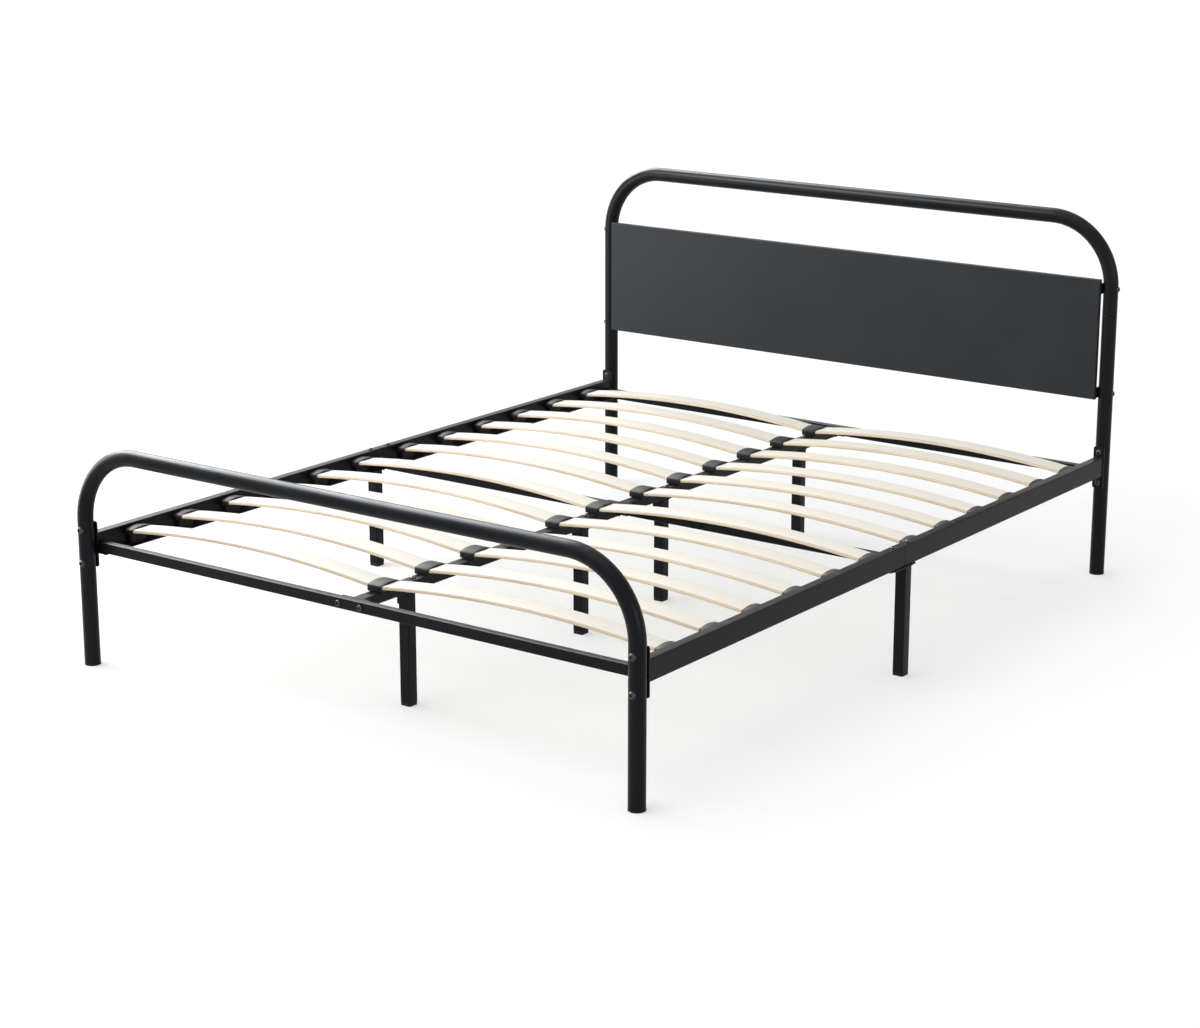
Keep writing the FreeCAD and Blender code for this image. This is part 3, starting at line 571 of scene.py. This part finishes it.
def tube_tree():
    """A round tube along a line of points, bent at each corner, with a ripple for weld beads."""
    (tree, given, out) = new_geometry_tree(
        "bed_tube", Radius="Float", Bend_Radius="Float", Bend_Steps="Int", Sides="Int", Ripple="Float",
        Ripple_Length="Float",
    )
    bent = add_node(
        tree, "GeometryNodeFilletCurve", [("mode", "POLY")], Count=given["Bend Steps"], Limit_Radius=True,
        Curve=add_node(tree, "GeometryNodeMeshToCurve", Mesh=given["Geometry"]), Radius=given["Bend Radius"],
    )
    outline = add_node(tree, "GeometryNodeCurvePrimitiveCircle", Resolution=given["Sides"])
    feed(tree, outline, Radius=given["Radius"])
    run = add_node(tree, "GeometryNodeSplineParameter").outputs["Length"]
    turn = maths(tree, "DIVIDE", run, given["Ripple Length"])
    wave = maths(tree, "MULTIPLY", maths(tree, "SINE", turn), given["Ripple"])
    tube = add_node(
        tree, "GeometryNodeCurveToMesh", Curve=bent, Profile_Curve=outline, Fill_Caps=True,
        Scale=maths(tree, "ADD", wave, 1.0),
    )
    merged = add_node(tree, "GeometryNodeMergeByDistance", Geometry=tube, Distance=0.01 * MM)
    finish_tree(tree, given, out, merged)
    return tree


def line_mesh(name, lines, closed):
    """Separate open or closed lines of points as one mesh of edges."""
    points = []
    edges = []
    for line in lines:
        first = len(points)
        points.extend(tuple(point) for point in line)
        last = len(line) if closed else len(line) - 1
        edges.extend((first + index, first + (index + 1) % len(line)) for index in range(last))
    mesh = bpy.data.meshes.new(name)
    mesh.from_pydata(points, edges, [])
    return mesh


def add_tubes(name, lines, nodes=(), closed=False, rim_round=0.0, **inputs):
    """Adds one piece with a tube along each line of points."""
    tree = bpy.data.node_groups.get("bed_tube") or tube_tree()
    mesh = grow(name, line_mesh(name, lines, closed), tree, "frame_coat", rim_round, **inputs)
    add_piece(name, mesh, "frame_coat", nodes)


def hoop_line(hoop, post):
    """The middle line of a hoop: up one post, over the top and down the other."""
    (x, y, _) = node_centre(post)
    top = node_box(hoop)[1].z - TUBE_FLAT
    seam = node_box(post)[1].z
    return [(-x, y, seam), (-x, y, top), (x, y, top), (x, y, seam)]


class BED_OT_tubes(bpy.types.Operator):
    """Bends the two hoops and sets the four round posts under them."""

    bl_idname = "bed.tubes"
    bl_label = "Make Hoops and Posts"

    def execute(self, context):
        sizes = context.scene.bed_tubes
        facts = {"Radius": sizes.radius, "Sides": TUBE_SIDES, "rim_round": sizes.seam_chamfer}
        facts.update(Bend_Radius=sizes.bend_radius, Bend_Steps=HOOP_BEND_STEPS)
        for end in ("head", "foot"):
            posts = ["%s_post_%s" % (end, side) for side in SIDES]
            line = hoop_line(end + "_hoop", end + "_post_right")
            add_tubes(end + "_hoop_tube", [line], (end + "_hoop",), **facts)
            y = line[0][1]
            lines = [[(node_centre(post).x, y, corner.z) for corner in node_box(post)] for post in posts]
            add_tubes(end + "_post_tubes", lines, posts, **facts)
        return {"FINISHED"}


# ---- sheet and square tube ----
FRAME_STEEL = ["side_rail_%s_%s" % (half, side) for half in ("foot", "head") for side in SIDES]
FRAME_STEEL += ["side_leg_" + side for side in SIDES]
FRAME_STEEL += [place + "_crossbar" for place in ("foot", "mid", "head")]
FRAME_STEEL += ["centre_rail_foot", "centre_rail_head"]
FRAME_STEEL += ["centre_leg_%d" % number for number in range(1, 5)]
FRAME_STEEL += ["panel_brackets"] + ["rail_joiner_" + side for side in SIDES]


def add_softened(node, material, width):
    """Adds a copy of a CAD node with its flats merged and its sharp edges rounded over."""
    shape = merged_copy(node, 0.01 * MM)
    bmesh.ops.dissolve_limit(shape, angle_limit=radians(1), verts=shape.verts, edges=shape.edges)
    mesh = plain_mesh(shape, node + "_soft")
    mesh.shade_smooth()
    source = new_object(node + "_soft", mesh)
    with_facts(add_bevel(source, width, 36), use_clamp_overlap=False, miter_outer="MITER_ARC")
    source.modifiers.new("flats", "WEIGHTED_NORMAL")
    add_piece(node + "_finished", result_mesh(source, node + "_soft"), material, (node,))


class BED_OT_steel(bpy.types.Operator):
    """Rounds the edges of the rails, cross bars, legs, brackets, panel and leg caps."""

    bl_idname = "bed.steel"
    bl_label = "Finish Rails, Legs and Panel"

    def execute(self, context):
        width = context.scene.bed_tubes.edge_round
        for node in FRAME_STEEL:
            add_softened(node, "frame_coat", width)
        add_softened("head_panel", "panel_coat", width)
        add_softened("leg_foot_caps", "moulded_plastic", width)
        return {"FINISHED"}


# ---- welds ----
RAIL_SECTION = (25.0 * MM, 50.0 * MM)
CENTRE_SECTION = (30.0 * MM, 24.0 * MM)
LEG_SECTION = (28.0 * MM, 28.0 * MM)
RAIL_MIDDLE_Z = 293.0 * MM
CENTRE_MIDDLE_Z = 280.0 * MM
END_PLATE = 4.0 * MM
LEG_PLATE = 3.0 * MM
WELD_SINK = 0.1 * MM
WELD_STEP = 0.9 * MM
WELD_RIPPLE = 0.16
WELD_RIPPLE_LENGTH = 0.42 * MM


def weld_loop(middle, section, up):
    """Closely set points round a square tube, a little let into it."""
    (half_width, half_height) = [size / 2 - WELD_SINK for size in section]
    signs = ((-1, -1), (1, -1), (1, 1), (-1, 1))
    corners = [middle + ACROSS * (a * half_width) + up * (b * half_height) for (a, b) in signs]
    points = []
    for (start, end) in zip(corners, corners[1:] + corners[:1]):
        run = end - start
        count = max(1, round(run.length / WELD_STEP))
        points.extend(start + run * (number / count) for number in range(count))
    return points


def leg_weld(node):
    """The weld between a leg's tube and the plate on its top."""
    points = [vert.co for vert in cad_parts[node].data.vertices]
    (low, high) = points_box(points)
    axis = floor_middle([point for point in points if point.z < low.z + 5 * MM])
    return weld_loop(axis + UP * (high.z - LEG_PLATE), LEG_SECTION, ALONG)


class BED_OT_welds(bpy.types.Operator):
    """Lays a weld bead round each tube that is joined to a plate."""

    bl_idname = "bed.welds"
    bl_label = "Lay Weld Beads"

    def execute(self, context):
        loops = []
        for side in SIDES:
            for (half, end, inwards) in (("foot", 0, 1), ("head", 1, -1)):
                y = node_box("side_rail_%s_%s" % (half, side))[end].y + inwards * END_PLATE
                x = node_centre("%s_post_%s" % (half, side)).x
                loops.append(weld_loop(Vector((x, y, RAIL_MIDDLE_Z)), RAIL_SECTION, UP))
            loops.append(leg_weld("side_leg_" + side))
        loops += [leg_weld("centre_leg_%d" % number) for number in range(1, 5)]
        for half in ("foot", "head"):
            (low, high) = node_box("centre_rail_" + half)
            for y in (low.y + END_PLATE, high.y - END_PLATE):
                loops.append(weld_loop(Vector((0, y, CENTRE_MIDDLE_Z)), CENTRE_SECTION, UP))
        add_tubes(
            "weld_beads", loops, closed=True, Radius=context.scene.bed_tubes.weld_radius, Bend_Radius=0.0,
            Bend_Steps=1, Sides=8, Ripple=WELD_RIPPLE, Ripple_Length=WELD_RIPPLE_LENGTH,
        )
        return {"FINISHED"}


# ---- slats ----
SLAT_STEPS = 49


def store(tree, geometry, name, value, domain="POINT"):
    """Stores a number on a geometry under a name."""
    node = add_node(tree, "GeometryNodeStoreNamedAttribute", [("domain", domain)], Geometry=geometry)
    return feed(tree, node, Name=name, Value=value)


def slat_tree():
    """Bowed slats: one strip along an arc, its edges rounded, with a copy on every point."""
    (tree, given, out) = new_geometry_tree(
        "bed_slats", Start="Vector", Middle="Vector", End="Vector", Width="Float", Thickness="Float",
        Edge_Rounding="Float",
    )
    arc = add_node(tree, "GeometryNodeCurveArc", [("mode", "POINTS")], Resolution=SLAT_STEPS)
    feed(tree, arc, Start=given["Start"], Middle=given["Middle"], End=given["End"])
    level = add_node(tree, "GeometryNodeSetCurveNormal", [("mode", "Z_UP")], Curve=arc)
    path = store(tree, level, "along", add_node(tree, "GeometryNodeSplineParameter").outputs["Length"])
    outline = add_node(tree, "GeometryNodeCurvePrimitiveQuadrilateral", Width=given["Width"])
    feed(tree, outline, Height=given["Thickness"])
    outline = add_node(tree, "GeometryNodeFilletCurve", [("mode", "POLY")], Curve=outline, Count=6)
    feed(tree, outline, Radius=given["Edge Rounding"])
    place = add_node(tree, "ShaderNodeSeparateXYZ", Vector=add_node(tree, "GeometryNodeInputPosition"))
    across = maths(tree, "DIVIDE", place.outputs["X"], given["Width"])
    through = maths(tree, "DIVIDE", place.outputs["Y"], given["Thickness"])
    outline = store(tree, store(tree, outline, "across", across), "through", through)
    strip = add_node(tree, "GeometryNodeCurveToMesh", Curve=path, Profile_Curve=outline, Fill_Caps=True)
    copies = copies_on_points(tree, given["Geometry"], strip)
    number = add_node(tree, "GeometryNodeInputIndex")
    finish_tree(tree, given, out, store(tree, copies, "slat", number, "INSTANCE"))
    return tree


class BED_OT_slats(bpy.types.Operator):
    """Bends the two rows of wooden slats."""

    bl_idname = "bed.slats"
    bl_label = "Make Slats"

    def execute(self, context):
        sizes = context.scene.bed_slats
        top_radius = (SLAT_HALF_SPAN ** 2 + sizes.bow ** 2) / (2 * sizes.bow)
        angle = asin(SLAT_HALF_SPAN / top_radius)
        radius = top_radius - sizes.thickness / 2
        centre_z = SLAT_HIGH.z - top_radius
        reach = radius * sin(angle)
        end_z = centre_z + radius * cos(angle)
        points = [floor_middle(node_box(node)) for node in SLAT_NODES]
        turns = [(0, 0, 0 if point.x > 0 else pi) for point in points]
        mesh = grow(
            "slats", point_cloud("slat_places", points, turns), slat_tree(), "birch_ply",
            Start=(-reach, 0, end_z), Middle=(0, 0, centre_z + radius), End=(reach, 0, end_z),
            Width=sizes.width, Thickness=sizes.thickness, Edge_Rounding=sizes.edge_round,
        )
        smooth_below(mesh, 40)
        add_piece("slats", mesh, "birch_ply", SLAT_NODES)
        return {"FINISHED"}


# ---- slat holders, with these sizes in millimetres ----
HOOD_HALF_WIDTH = 33.0
HOOD_SHOULDER = 308.6
HOOD_CROWN = 312.0
HOOD_LOW_ROUND = 1.6
HOOD_HIGH_ROUND = 6.0
POCKET_HALF_WIDTH = 30.0
POCKET_FLOOR = 297.0
POCKET_ROOF = 305.0
POCKET_ROUND = 3.0
MOUTH_ROUND = [(0.0, 0.9), (0.5, 0.25), (1.3, 0.0)]
CAP_DEPTH = 25.0
CAP_BACK_WALL = 3.0
CAP_HOOD_BASE = 294.5
CAP_FOOT = {"x0": -12.0, "x1": -0.4, "base": 270.0, "top": 295.4, "half_width": 24.0}
SADDLE_HALF_LENGTH = 20.5
SADDLE_HALF_WEB = 1.5
SADDLE_HOOD_BASE = 292.8
SADDLE_FOOT = {"x0": -20.1, "x1": 20.1, "base": 292.0, "top": 294.0, "half_width": 32.4}
FOOT_CORNER = 2.0
SLOPE_SHARE = 0.9


def holder_outline(x, half_width, low, shoulder, high, low_round, high_round):
    """A closed outline across the bed: flat underneath, rounded corners and an arched top."""
    half = [(half_width * 0.4, low)]
    for step in range(5):
        angle = radians(22.5 * step - 90)
        y = half_width - low_round + low_round * cos(angle)
        half.append((y, low + low_round + low_round * sin(angle)))
    flat = half_width - high_round
    for step in range(7):
        angle = radians(15.0 * step)
        rise = high_round * sin(angle)
        half.append((flat + high_round * cos(angle), shoulder - high_round + rise))
    for step in range(1, 7):
        y = flat * (1 - step / 7)
        half.append((y, high - (high - shoulder) * (y / flat) ** 2))
    points = [Vector((x, 0, low))] + [Vector((x, y, z)) for (y, z) in half] + [Vector((x, 0, high))]
    return points + [Vector((x, -y, z)) for (y, z) in reversed(half)]


def outline_ring(shape, *sizes):
    """The corners of a holder's outline, whose sizes are in millimetres."""
    return ring(shape, holder_outline(*[size * MM for size in sizes]))


def hood_rings(shape, stations, base):
    """The holder's outside through a list of places along the slat, each with its inset."""
    rings = []
    for (x, inset) in stations:
        facts = (HOOD_HALF_WIDTH - inset, base + inset, HOOD_SHOULDER - inset, HOOD_CROWN - inset)
        rings.append(outline_ring(shape, x, *facts, HOOD_LOW_ROUND, HOOD_HIGH_ROUND))
    skin(shape, rings)
    return rings


def add_pocket(shape, rim, mouth, end_x, slope, sizes):
    """Turns in from a rim of the hood to a closed pocket, the slat's section with some play."""
    (play, lip) = (sizes.play / MM, sizes.lip / MM)
    way = copysign(1.0, mouth)
    rings = [rim]
    for (depth, flare) in ((0.0, lip * 0.5), (lip * 0.35, lip * 0.15), (lip, 0.0), (abs(mouth - end_x), 0.0)):
        x = mouth - way * depth
        rise = slope * abs(x - end_x)
        (floor, roof) = (POCKET_FLOOR - play - flare + rise, POCKET_ROOF + play + flare + rise)
        facts = (x, POCKET_HALF_WIDTH + play + flare, floor, roof, roof, POCKET_ROUND, POCKET_ROUND)
        rings.append(outline_ring(shape, *facts))
    skin(shape, rings)
    shape.faces.new(rings[-1])


def foot_block(shape, x0, x1, base, top, half_width):
    """The holder's foot: a block with rounded upright corners, a little let into the hood."""
    (left, right, side) = (x0 + FOOT_CORNER, x1 - FOOT_CORNER, half_width - FOOT_CORNER)
    rings = []
    for (z, inset) in ((base, 0.5), (base + 0.5, 0.0), (top, 0.0)):
        points = []
        for (quarter, (x, y)) in enumerate(((right, side), (left, side), (left, -side), (right, -side))):
            for step in range(4):
                angle = radians(90 * quarter + 30 * step)
                reach = FOOT_CORNER - inset
                points.append(Vector((x + reach * cos(angle), y + reach * sin(angle), z)) * MM)
        rings.append(ring(shape, points))
    skin(shape, rings)
    shape.faces.new(rings[0])
    shape.faces.new(rings[-1])


def end_cap_mesh(sizes, slope):
    """An end cap with its back against the rail at x = 0 and its mouth towards -x."""
    shape = bmesh.new()
    stations = [(0.0, 0.8), (-0.25, 0.25), (-0.9, 0.0), (-12.0, 0.0)]
    stations += [(step - CAP_DEPTH, inset) for (step, inset) in reversed(MOUTH_ROUND)]
    rings = hood_rings(shape, stations, CAP_HOOD_BASE)
    shape.faces.new(rings[0])
    add_pocket(shape, rings[-1], -CAP_DEPTH, -CAP_BACK_WALL, slope, sizes)
    foot_block(shape, **CAP_FOOT)
    return mesh_of(shape, "end_cap", 38.0)


def saddle_mesh(sizes, slope):
    """A saddle with a pocket each way and a thin web between them."""
    shape = bmesh.new()
    near = [(step - SADDLE_HALF_LENGTH, inset) for (step, inset) in MOUTH_ROUND] + [(-7.0, 0.0)]
    far = [(-x, inset) for (x, inset) in reversed(near)]
    rings = hood_rings(shape, near + far, SADDLE_HOOD_BASE)
    for (rim, way) in ((rings[0], -1), (rings[-1], 1)):
        add_pocket(shape, rim, way * SADDLE_HALF_LENGTH, way * SADDLE_HALF_WEB, slope, sizes)
    foot_block(shape, **SADDLE_FOOT)
    return mesh_of(shape, "saddle", 38.0)


class BED_OT_holders(bpy.types.Operator):
    """Moulds the slat end caps on the side rails and the saddles on the centre rail."""

    bl_idname = "bed.holders"
    bl_label = "Make Slat Holders"

    def execute(self, context):
        sizes = context.scene.bed_holders
        slope = tan(2 * atan(context.scene.bed_slats.bow / SLAT_HALF_SPAN) * SLOPE_SHARE)
        for (side, outer, angle) in (("left", 0, pi), ("right", 1, 0)):
            node = "slat_end_caps_" + side
            points = [(points_box(solid)[outer].x, floor_middle(solid).y, 0) for solid in solids_in(node)]
            cap = end_cap_mesh(sizes, slope)
            add_copies(node + "_moulded", cap, points, [(0, 0, angle)], "moulded_plastic", (node,))
        node = "centre_slat_holders"
        points = [(0, floor_middle(solid).y, 0) for solid in solids_in(node)]
        saddle = saddle_mesh(sizes, slope)
        add_copies("saddles_moulded", saddle, points, [(0, 0, 0)], "moulded_plastic", (node,))
        return {"FINISHED"}


# ---- foot caps ----
def lathe(name, profile, sides):
    """Turns a profile of (radius, height) pairs round the upright axis. It starts and ends on the axis."""
    shape = bmesh.new()
    rings = [ring(shape, circle(radius, height, full_turn(sides))) for (radius, height) in profile[1:-1]]
    skin(shape, rings)
    for (row, height) in ((rings[0], profile[0][1]), (rings[-1], profile[-1][1])):
        pole = shape.verts.new((0, 0, height))
        for index in range(sides):
            shape.faces.new((row[index], row[(index + 1) % sides], pole))
    return mesh_of(shape, name, 40.0)


class BED_OT_foot_caps(bpy.types.Operator):
    """Turns the plastic caps under the four round posts."""

    bl_idname = "bed.foot_caps"
    bl_label = "Make Post Foot Caps"

    def execute(self, context):
        solids = solids_in("post_foot_caps")
        (low, high) = points_box(solids[0])
        radius = (high.x - low.x) / 2
        head = node_box("foot_post_right")[0].z
        stem = context.scene.bed_tubes.radius - 2 * MM
        stem_top = head + 6 * MM
        profile = [(0, 0), (radius - 1.4 * MM, 0), (radius - 0.5 * MM, 0.3 * MM)]
        profile += [(radius - 0.1 * MM, 0.9 * MM), (radius, 1.8 * MM), (radius, head - 0.4 * MM)]
        profile += [(radius - 0.3 * MM, head), (stem, head), (stem, stem_top), (0, stem_top)]
        cap = lathe("post_cap", profile, 48)
        points = [floor_middle(solid) for solid in solids]
        add_copies("post_caps", cap, points, [(0, 0, 0)], "moulded_plastic", ("post_foot_caps",))
        return {"FINISHED"}


# ---- bolts ----
BOLT_KINDS = ("corner", "rail_joint", "side_leg", "centre_leg", "crossbar", "panel")
BOLT_SIDES = 24
CROWN_SHARE = 0.52
RIM_HEIGHT = 0.7 * MM
RIM_ROUND = 0.35 * MM
SHANK_CHAMFER = 0.6 * MM
SOCKET_CHAMFER = 0.25 * MM
WASHER_SIDES = 40
WASHER_SINK = 0.3 * MM
WASHER_ROUND = 0.35 * MM


def bolt_place(points, head_height):
    """The seat under a bolt's head, the way that the head faces and the shank's length."""
    (low, high) = points_box(points)
    size = high - low
    axis = max(range(3), key=lambda index: size[index])
    others = [index for index in range(3) if index != axis]
    middle = (low + high) / 2

    def spread(group):
        return max(hypot(*[point[index] - middle[index] for index in others]) for point in group)

    upper = spread([point for point in points if point[axis] > middle[axis]])
    lower = spread([point for point in points if point[axis] < middle[axis]])
    (end, facing) = (high, 1) if upper > lower else (low, -1)
    way = Vector((0, 0, 0))
    way[axis] = facing
    seat = middle.copy()
    seat[axis] = end[axis] - facing * head_height
    return seat, way, size[axis] - head_height


def button_bolt_mesh(sizes, shank):
    """A button-head bolt, seated at the origin with its head up and a hex socket in the crown."""
    turns = full_turn(BOLT_SIDES)
    (radius, height, stem) = (sizes.head_radius, sizes.head_height, sizes.shank_radius)
    crown = radius * CROWN_SHARE
    rows = [(stem - SHANK_CHAMFER, -shank), (stem, -shank + SHANK_CHAMFER), (stem, 0)]
    rows += [(radius - RIM_ROUND, 0), (radius, RIM_ROUND), (radius, RIM_HEIGHT)]
    for step in range(1, 7):
        angle = radians(15 * step)
        reach = crown + (radius - crown) * cos(angle)
        rows.append((reach, RIM_HEIGHT + (height - RIM_HEIGHT) * sin(angle)))
    shape = bmesh.new()
    rings = [ring(shape, circle(reach, z, turns)) for (reach, z) in rows]
    socket = ((SOCKET_CHAMFER, height), (0.0, height - SOCKET_CHAMFER), (0.0, height - sizes.socket_depth))
    for (wider, z) in socket:
        points = []
        for turn in turns:
            reach = (sizes.socket_flat + wider) / cos((turn % (pi / 3)) - pi / 6)
            points += circle(reach, z, [turn])
        rings.append(ring(shape, points))
    skin(shape, rings)
    shape.faces.new(rings[0])
    shape.faces.new(rings[-1])
    return mesh_of(shape, "button_bolt", 35.0)


def saddle_washer_mesh(sizes, tube_radius):
    """A thin washer, curved to sit on the top of a tube that lies along y."""
    (inner, outer, thick) = (sizes.shank_radius, sizes.washer_radius, sizes.washer_thickness)
    rows = [(inner, -WASHER_SINK), (outer - 0.1 * MM, -WASHER_SINK), (outer, thick - WASHER_ROUND)]
    rows += [(outer - WASHER_ROUND, thick), (inner, thick)]
    shape = bmesh.new()
    rings = []
    for (reach, rise) in rows:
        points = circle(reach, rise, full_turn(WASHER_SIDES))
        for point in points:
            point.z = sqrt(tube_radius ** 2 - point.x ** 2) - tube_radius + rise
        rings.append(ring(shape, points))
    skin(shape, rings + rings[:1])
    return mesh_of(shape, "saddle_washer", 40.0)


class BED_OT_bolts(bpy.types.Operator):
    """Puts a button-head bolt in every bolt's place, with saddle washers on the round posts."""

    bl_idname = "bed.bolts"
    bl_label = "Make Bolts"

    def execute(self, context):
        sizes = context.scene.bed_bolts
        for kind in BOLT_KINDS:
            node = kind + "_bolts"
            places = [bolt_place(points, sizes.head_height) for points in solids_in(node)]
            (seats, ways, shanks) = zip(*places)
            turns = [UP.rotation_difference(way).to_euler() for way in ways]
            bolt = button_bolt_mesh(sizes, min(shanks))
            add_copies(node + "_turned", bolt, seats, turns, "black_oxide", (node,))
            if kind == "corner":
                washer = saddle_washer_mesh(sizes, context.scene.bed_tubes.radius)
                add_copies("saddle_washers", washer, seats, turns, "black_oxide")
        return {"FINISHED"}


# ---- stage ----
FLOOR_SIZE = 60.0
EDGE_SHARE = 0.12
LAMP_TARGET = Vector((0, 1.0, 0.7))
BAND_COLOUR = (0.80, 0.90, 1.0)


def seen_directly(tree):
    """1 for rays from the camera, off gloss or through glass, and 0 for light that falls on the bed."""
    path = add_node(tree, "ShaderNodeLightPath").outputs
    seen = maths(tree, "MAXIMUM", path["Is Camera Ray"], path["Is Glossy Ray"])
    return maths(tree, "MAXIMUM", seen, path["Is Transmission Ray"])


def add_light(name, kind, place, target, **facts):
    """Puts a light at a place and aims it at a target."""
    data = with_facts(bpy.data.lights.new(name, kind), **facts)
    turn = (target - Vector(place)).to_track_quat("-Z", "Y").to_euler()
    return with_facts(new_object(name, data), location=place, rotation_euler=turn)


def add_sun(name, place, angle, strength):
    """A broad even light that comes from the direction of a place."""
    return add_light(name, "SUN", place, Vector((0, 0, 0)), angle=radians(angle), energy=strength)


def add_lamp(name, place, size, power):
    """A square soft light that is aimed at the head panel."""
    return add_light(name, "AREA", place, LAMP_TARGET, shape="SQUARE", size=size, energy=power)


def lay_floor(stage):
    """Lays a pale floor that shows plain to the camera and keeps the bed's shadow."""
    shape = bmesh.new()
    bmesh.ops.create_grid(shape, x_segments=1, y_segments=1, size=FLOOR_SIZE)
    floor = new_object("studio_floor", plain_mesh(shape, "studio_floor"))
    (tree, shader, place) = start_material("floor_paper")
    tone = ramp(tree, noise(tree, place, 1.5, 2.0), 0.3, 0.7, 0.0, 0.015)
    grey = blend(tree, tone, (*stage.floor_colour, 1), (0.8, 0.8, 0.8, 1))
    feed(tree, shader, Base_Color=grey, Roughness=0.9, Specular_IOR_Level=0.1, Emission_Color=WHITE)
    feed(tree, shader, Emission_Strength=maths(tree, "MULTIPLY", seen_directly(tree), stage.floor_glow))
    floor.data.materials.append(bpy.data.materials["floor_paper"])


def set_sky(scene, stage):
    """Lights the bed evenly from all round, in front of a white background."""
    scene.world = bpy.data.worlds.new("studio_sky")
    scene.world.use_nodes = True
    tree = scene.world.node_tree
    tree.nodes.clear()
    mix = add_node(tree, "ShaderNodeMixShader")
    put(tree, seen_directly(tree), mix.inputs[0])
    for (socket, strength) in ((mix.inputs[1], stage.sky_light), (mix.inputs[2], 1.0)):
        put(tree, add_node(tree, "ShaderNodeBackground", Color=WHITE, Strength=strength), socket)
    add_node(tree, "ShaderNodeOutputWorld", Surface=mix)


def set_camera(scene, stage):
    """Sets the camera, level from side to side, and makes it the scene's own."""
    (turn, tilt) = (stage.camera_turn, stage.camera_tilt)
    back = Vector((sin(turn) * cos(tilt), -cos(turn) * cos(tilt), sin(tilt)))
    right = Vector((cos(turn), sin(turn), 0))
    data = bpy.data.cameras.new("studio_camera")
    camera = new_object("studio_camera", with_facts(data, sensor_width=36.0, lens=stage.camera_lens))
    data.clip_end = 200.0
    axes = Matrix((right, back.cross(right), back)).transposed()
    camera.matrix_world = Matrix.Translation(stage.camera_place) @ axes.to_4x4()
    scene.camera = camera


class BED_OT_stage(bpy.types.Operator):
    """Lays the floor and sets the lights, the sky and the camera."""

    bl_idname = "bed.stage"
    bl_label = "Set the Stage"

    def execute(self, context):
        stage = context.scene.bed_stage
        lay_floor(stage)
        set_sky(context.scene, stage)
        add_sun("key_light", (-0.40, -0.25, 1.0), 80, stage.key_strength)
        add_sun("front_light", (-0.35, -0.8, 0.45), 60, stage.front_strength).visible_glossy = False
        add_sun("shine_light", (-0.76, 0.36, 0.60), 38, stage.shine_strength).visible_diffuse = False
        edge = add_sun("edge_light", (0.93, -0.20, 0.18), 30, stage.shine_strength * EDGE_SHARE)
        edge.visible_diffuse = False
        add_lamp("fill_light", (-2.4, -1.0, 0.8), 1.3, stage.fill_power).visible_camera = False
        band = add_lamp("band_light", (-1.8, -1.0, 2.7), 1.6, stage.band_power)
        band.data.color = BAND_COLOUR
        with_facts(band, visible_camera=False, visible_diffuse=False)
        set_camera(context.scene, stage)
        context.scene.view_settings.view_transform = "Standard"
        return {"FINISHED"}


# ---- panel and registration ----
OPERATORS = (
    BED_OT_finishes, BED_OT_tubes, BED_OT_steel, BED_OT_welds, BED_OT_slats, BED_OT_holders, BED_OT_foot_caps,
    BED_OT_bolts, BED_OT_stage,
)
SETTINGS = {
    "bed_finish": BedFinishSettings, "bed_tubes": BedTubeSettings, "bed_slats": BedSlatSettings,
    "bed_holders": BedHolderSettings, "bed_bolts": BedBoltSettings, "bed_stage": BedStageSettings,
}


class BED_PT_steps(bpy.types.Panel):
    """The steps that finish the bed, in order, and their settings."""

    bl_idname = "BED_PT_steps"
    bl_label = "Bed Frame"
    bl_space_type = "VIEW_3D"
    bl_region_type = "UI"
    bl_category = "Bed Frame"

    def draw(self, context):
        for operator in OPERATORS:
            self.layout.operator(operator.bl_idname)
        for name in SETTINGS:
            column = self.layout.box().column()
            settings = getattr(context.scene, name)
            for item in settings.bl_rna.properties:
                if item.identifier not in ("rna_type", "name"):
                    column.prop(settings, item.identifier)


def register():
    for (name, settings) in SETTINGS.items():
        bpy.utils.register_class(settings)
        setattr(bpy.types.Scene, name, bpy.props.PointerProperty(type=settings))
    for step in (*OPERATORS, BED_PT_steps):
        bpy.utils.register_class(step)


def unregister():
    for step in (BED_PT_steps, *reversed(OPERATORS)):
        bpy.utils.unregister_class(step)
    for (name, settings) in SETTINGS.items():
        delattr(bpy.types.Scene, name)
        bpy.utils.unregister_class(settings)


def main():
    register()
    bpy.ops.bed.finishes()
    bpy.ops.bed.tubes()
    bpy.ops.bed.steel()
    bpy.ops.bed.welds()
    bpy.ops.bed.slats()
    bpy.ops.bed.holders()
    bpy.ops.bed.foot_caps()
    bpy.ops.bed.bolts()
    bpy.ops.bed.stage()


if __name__ == "__main__":
    main()
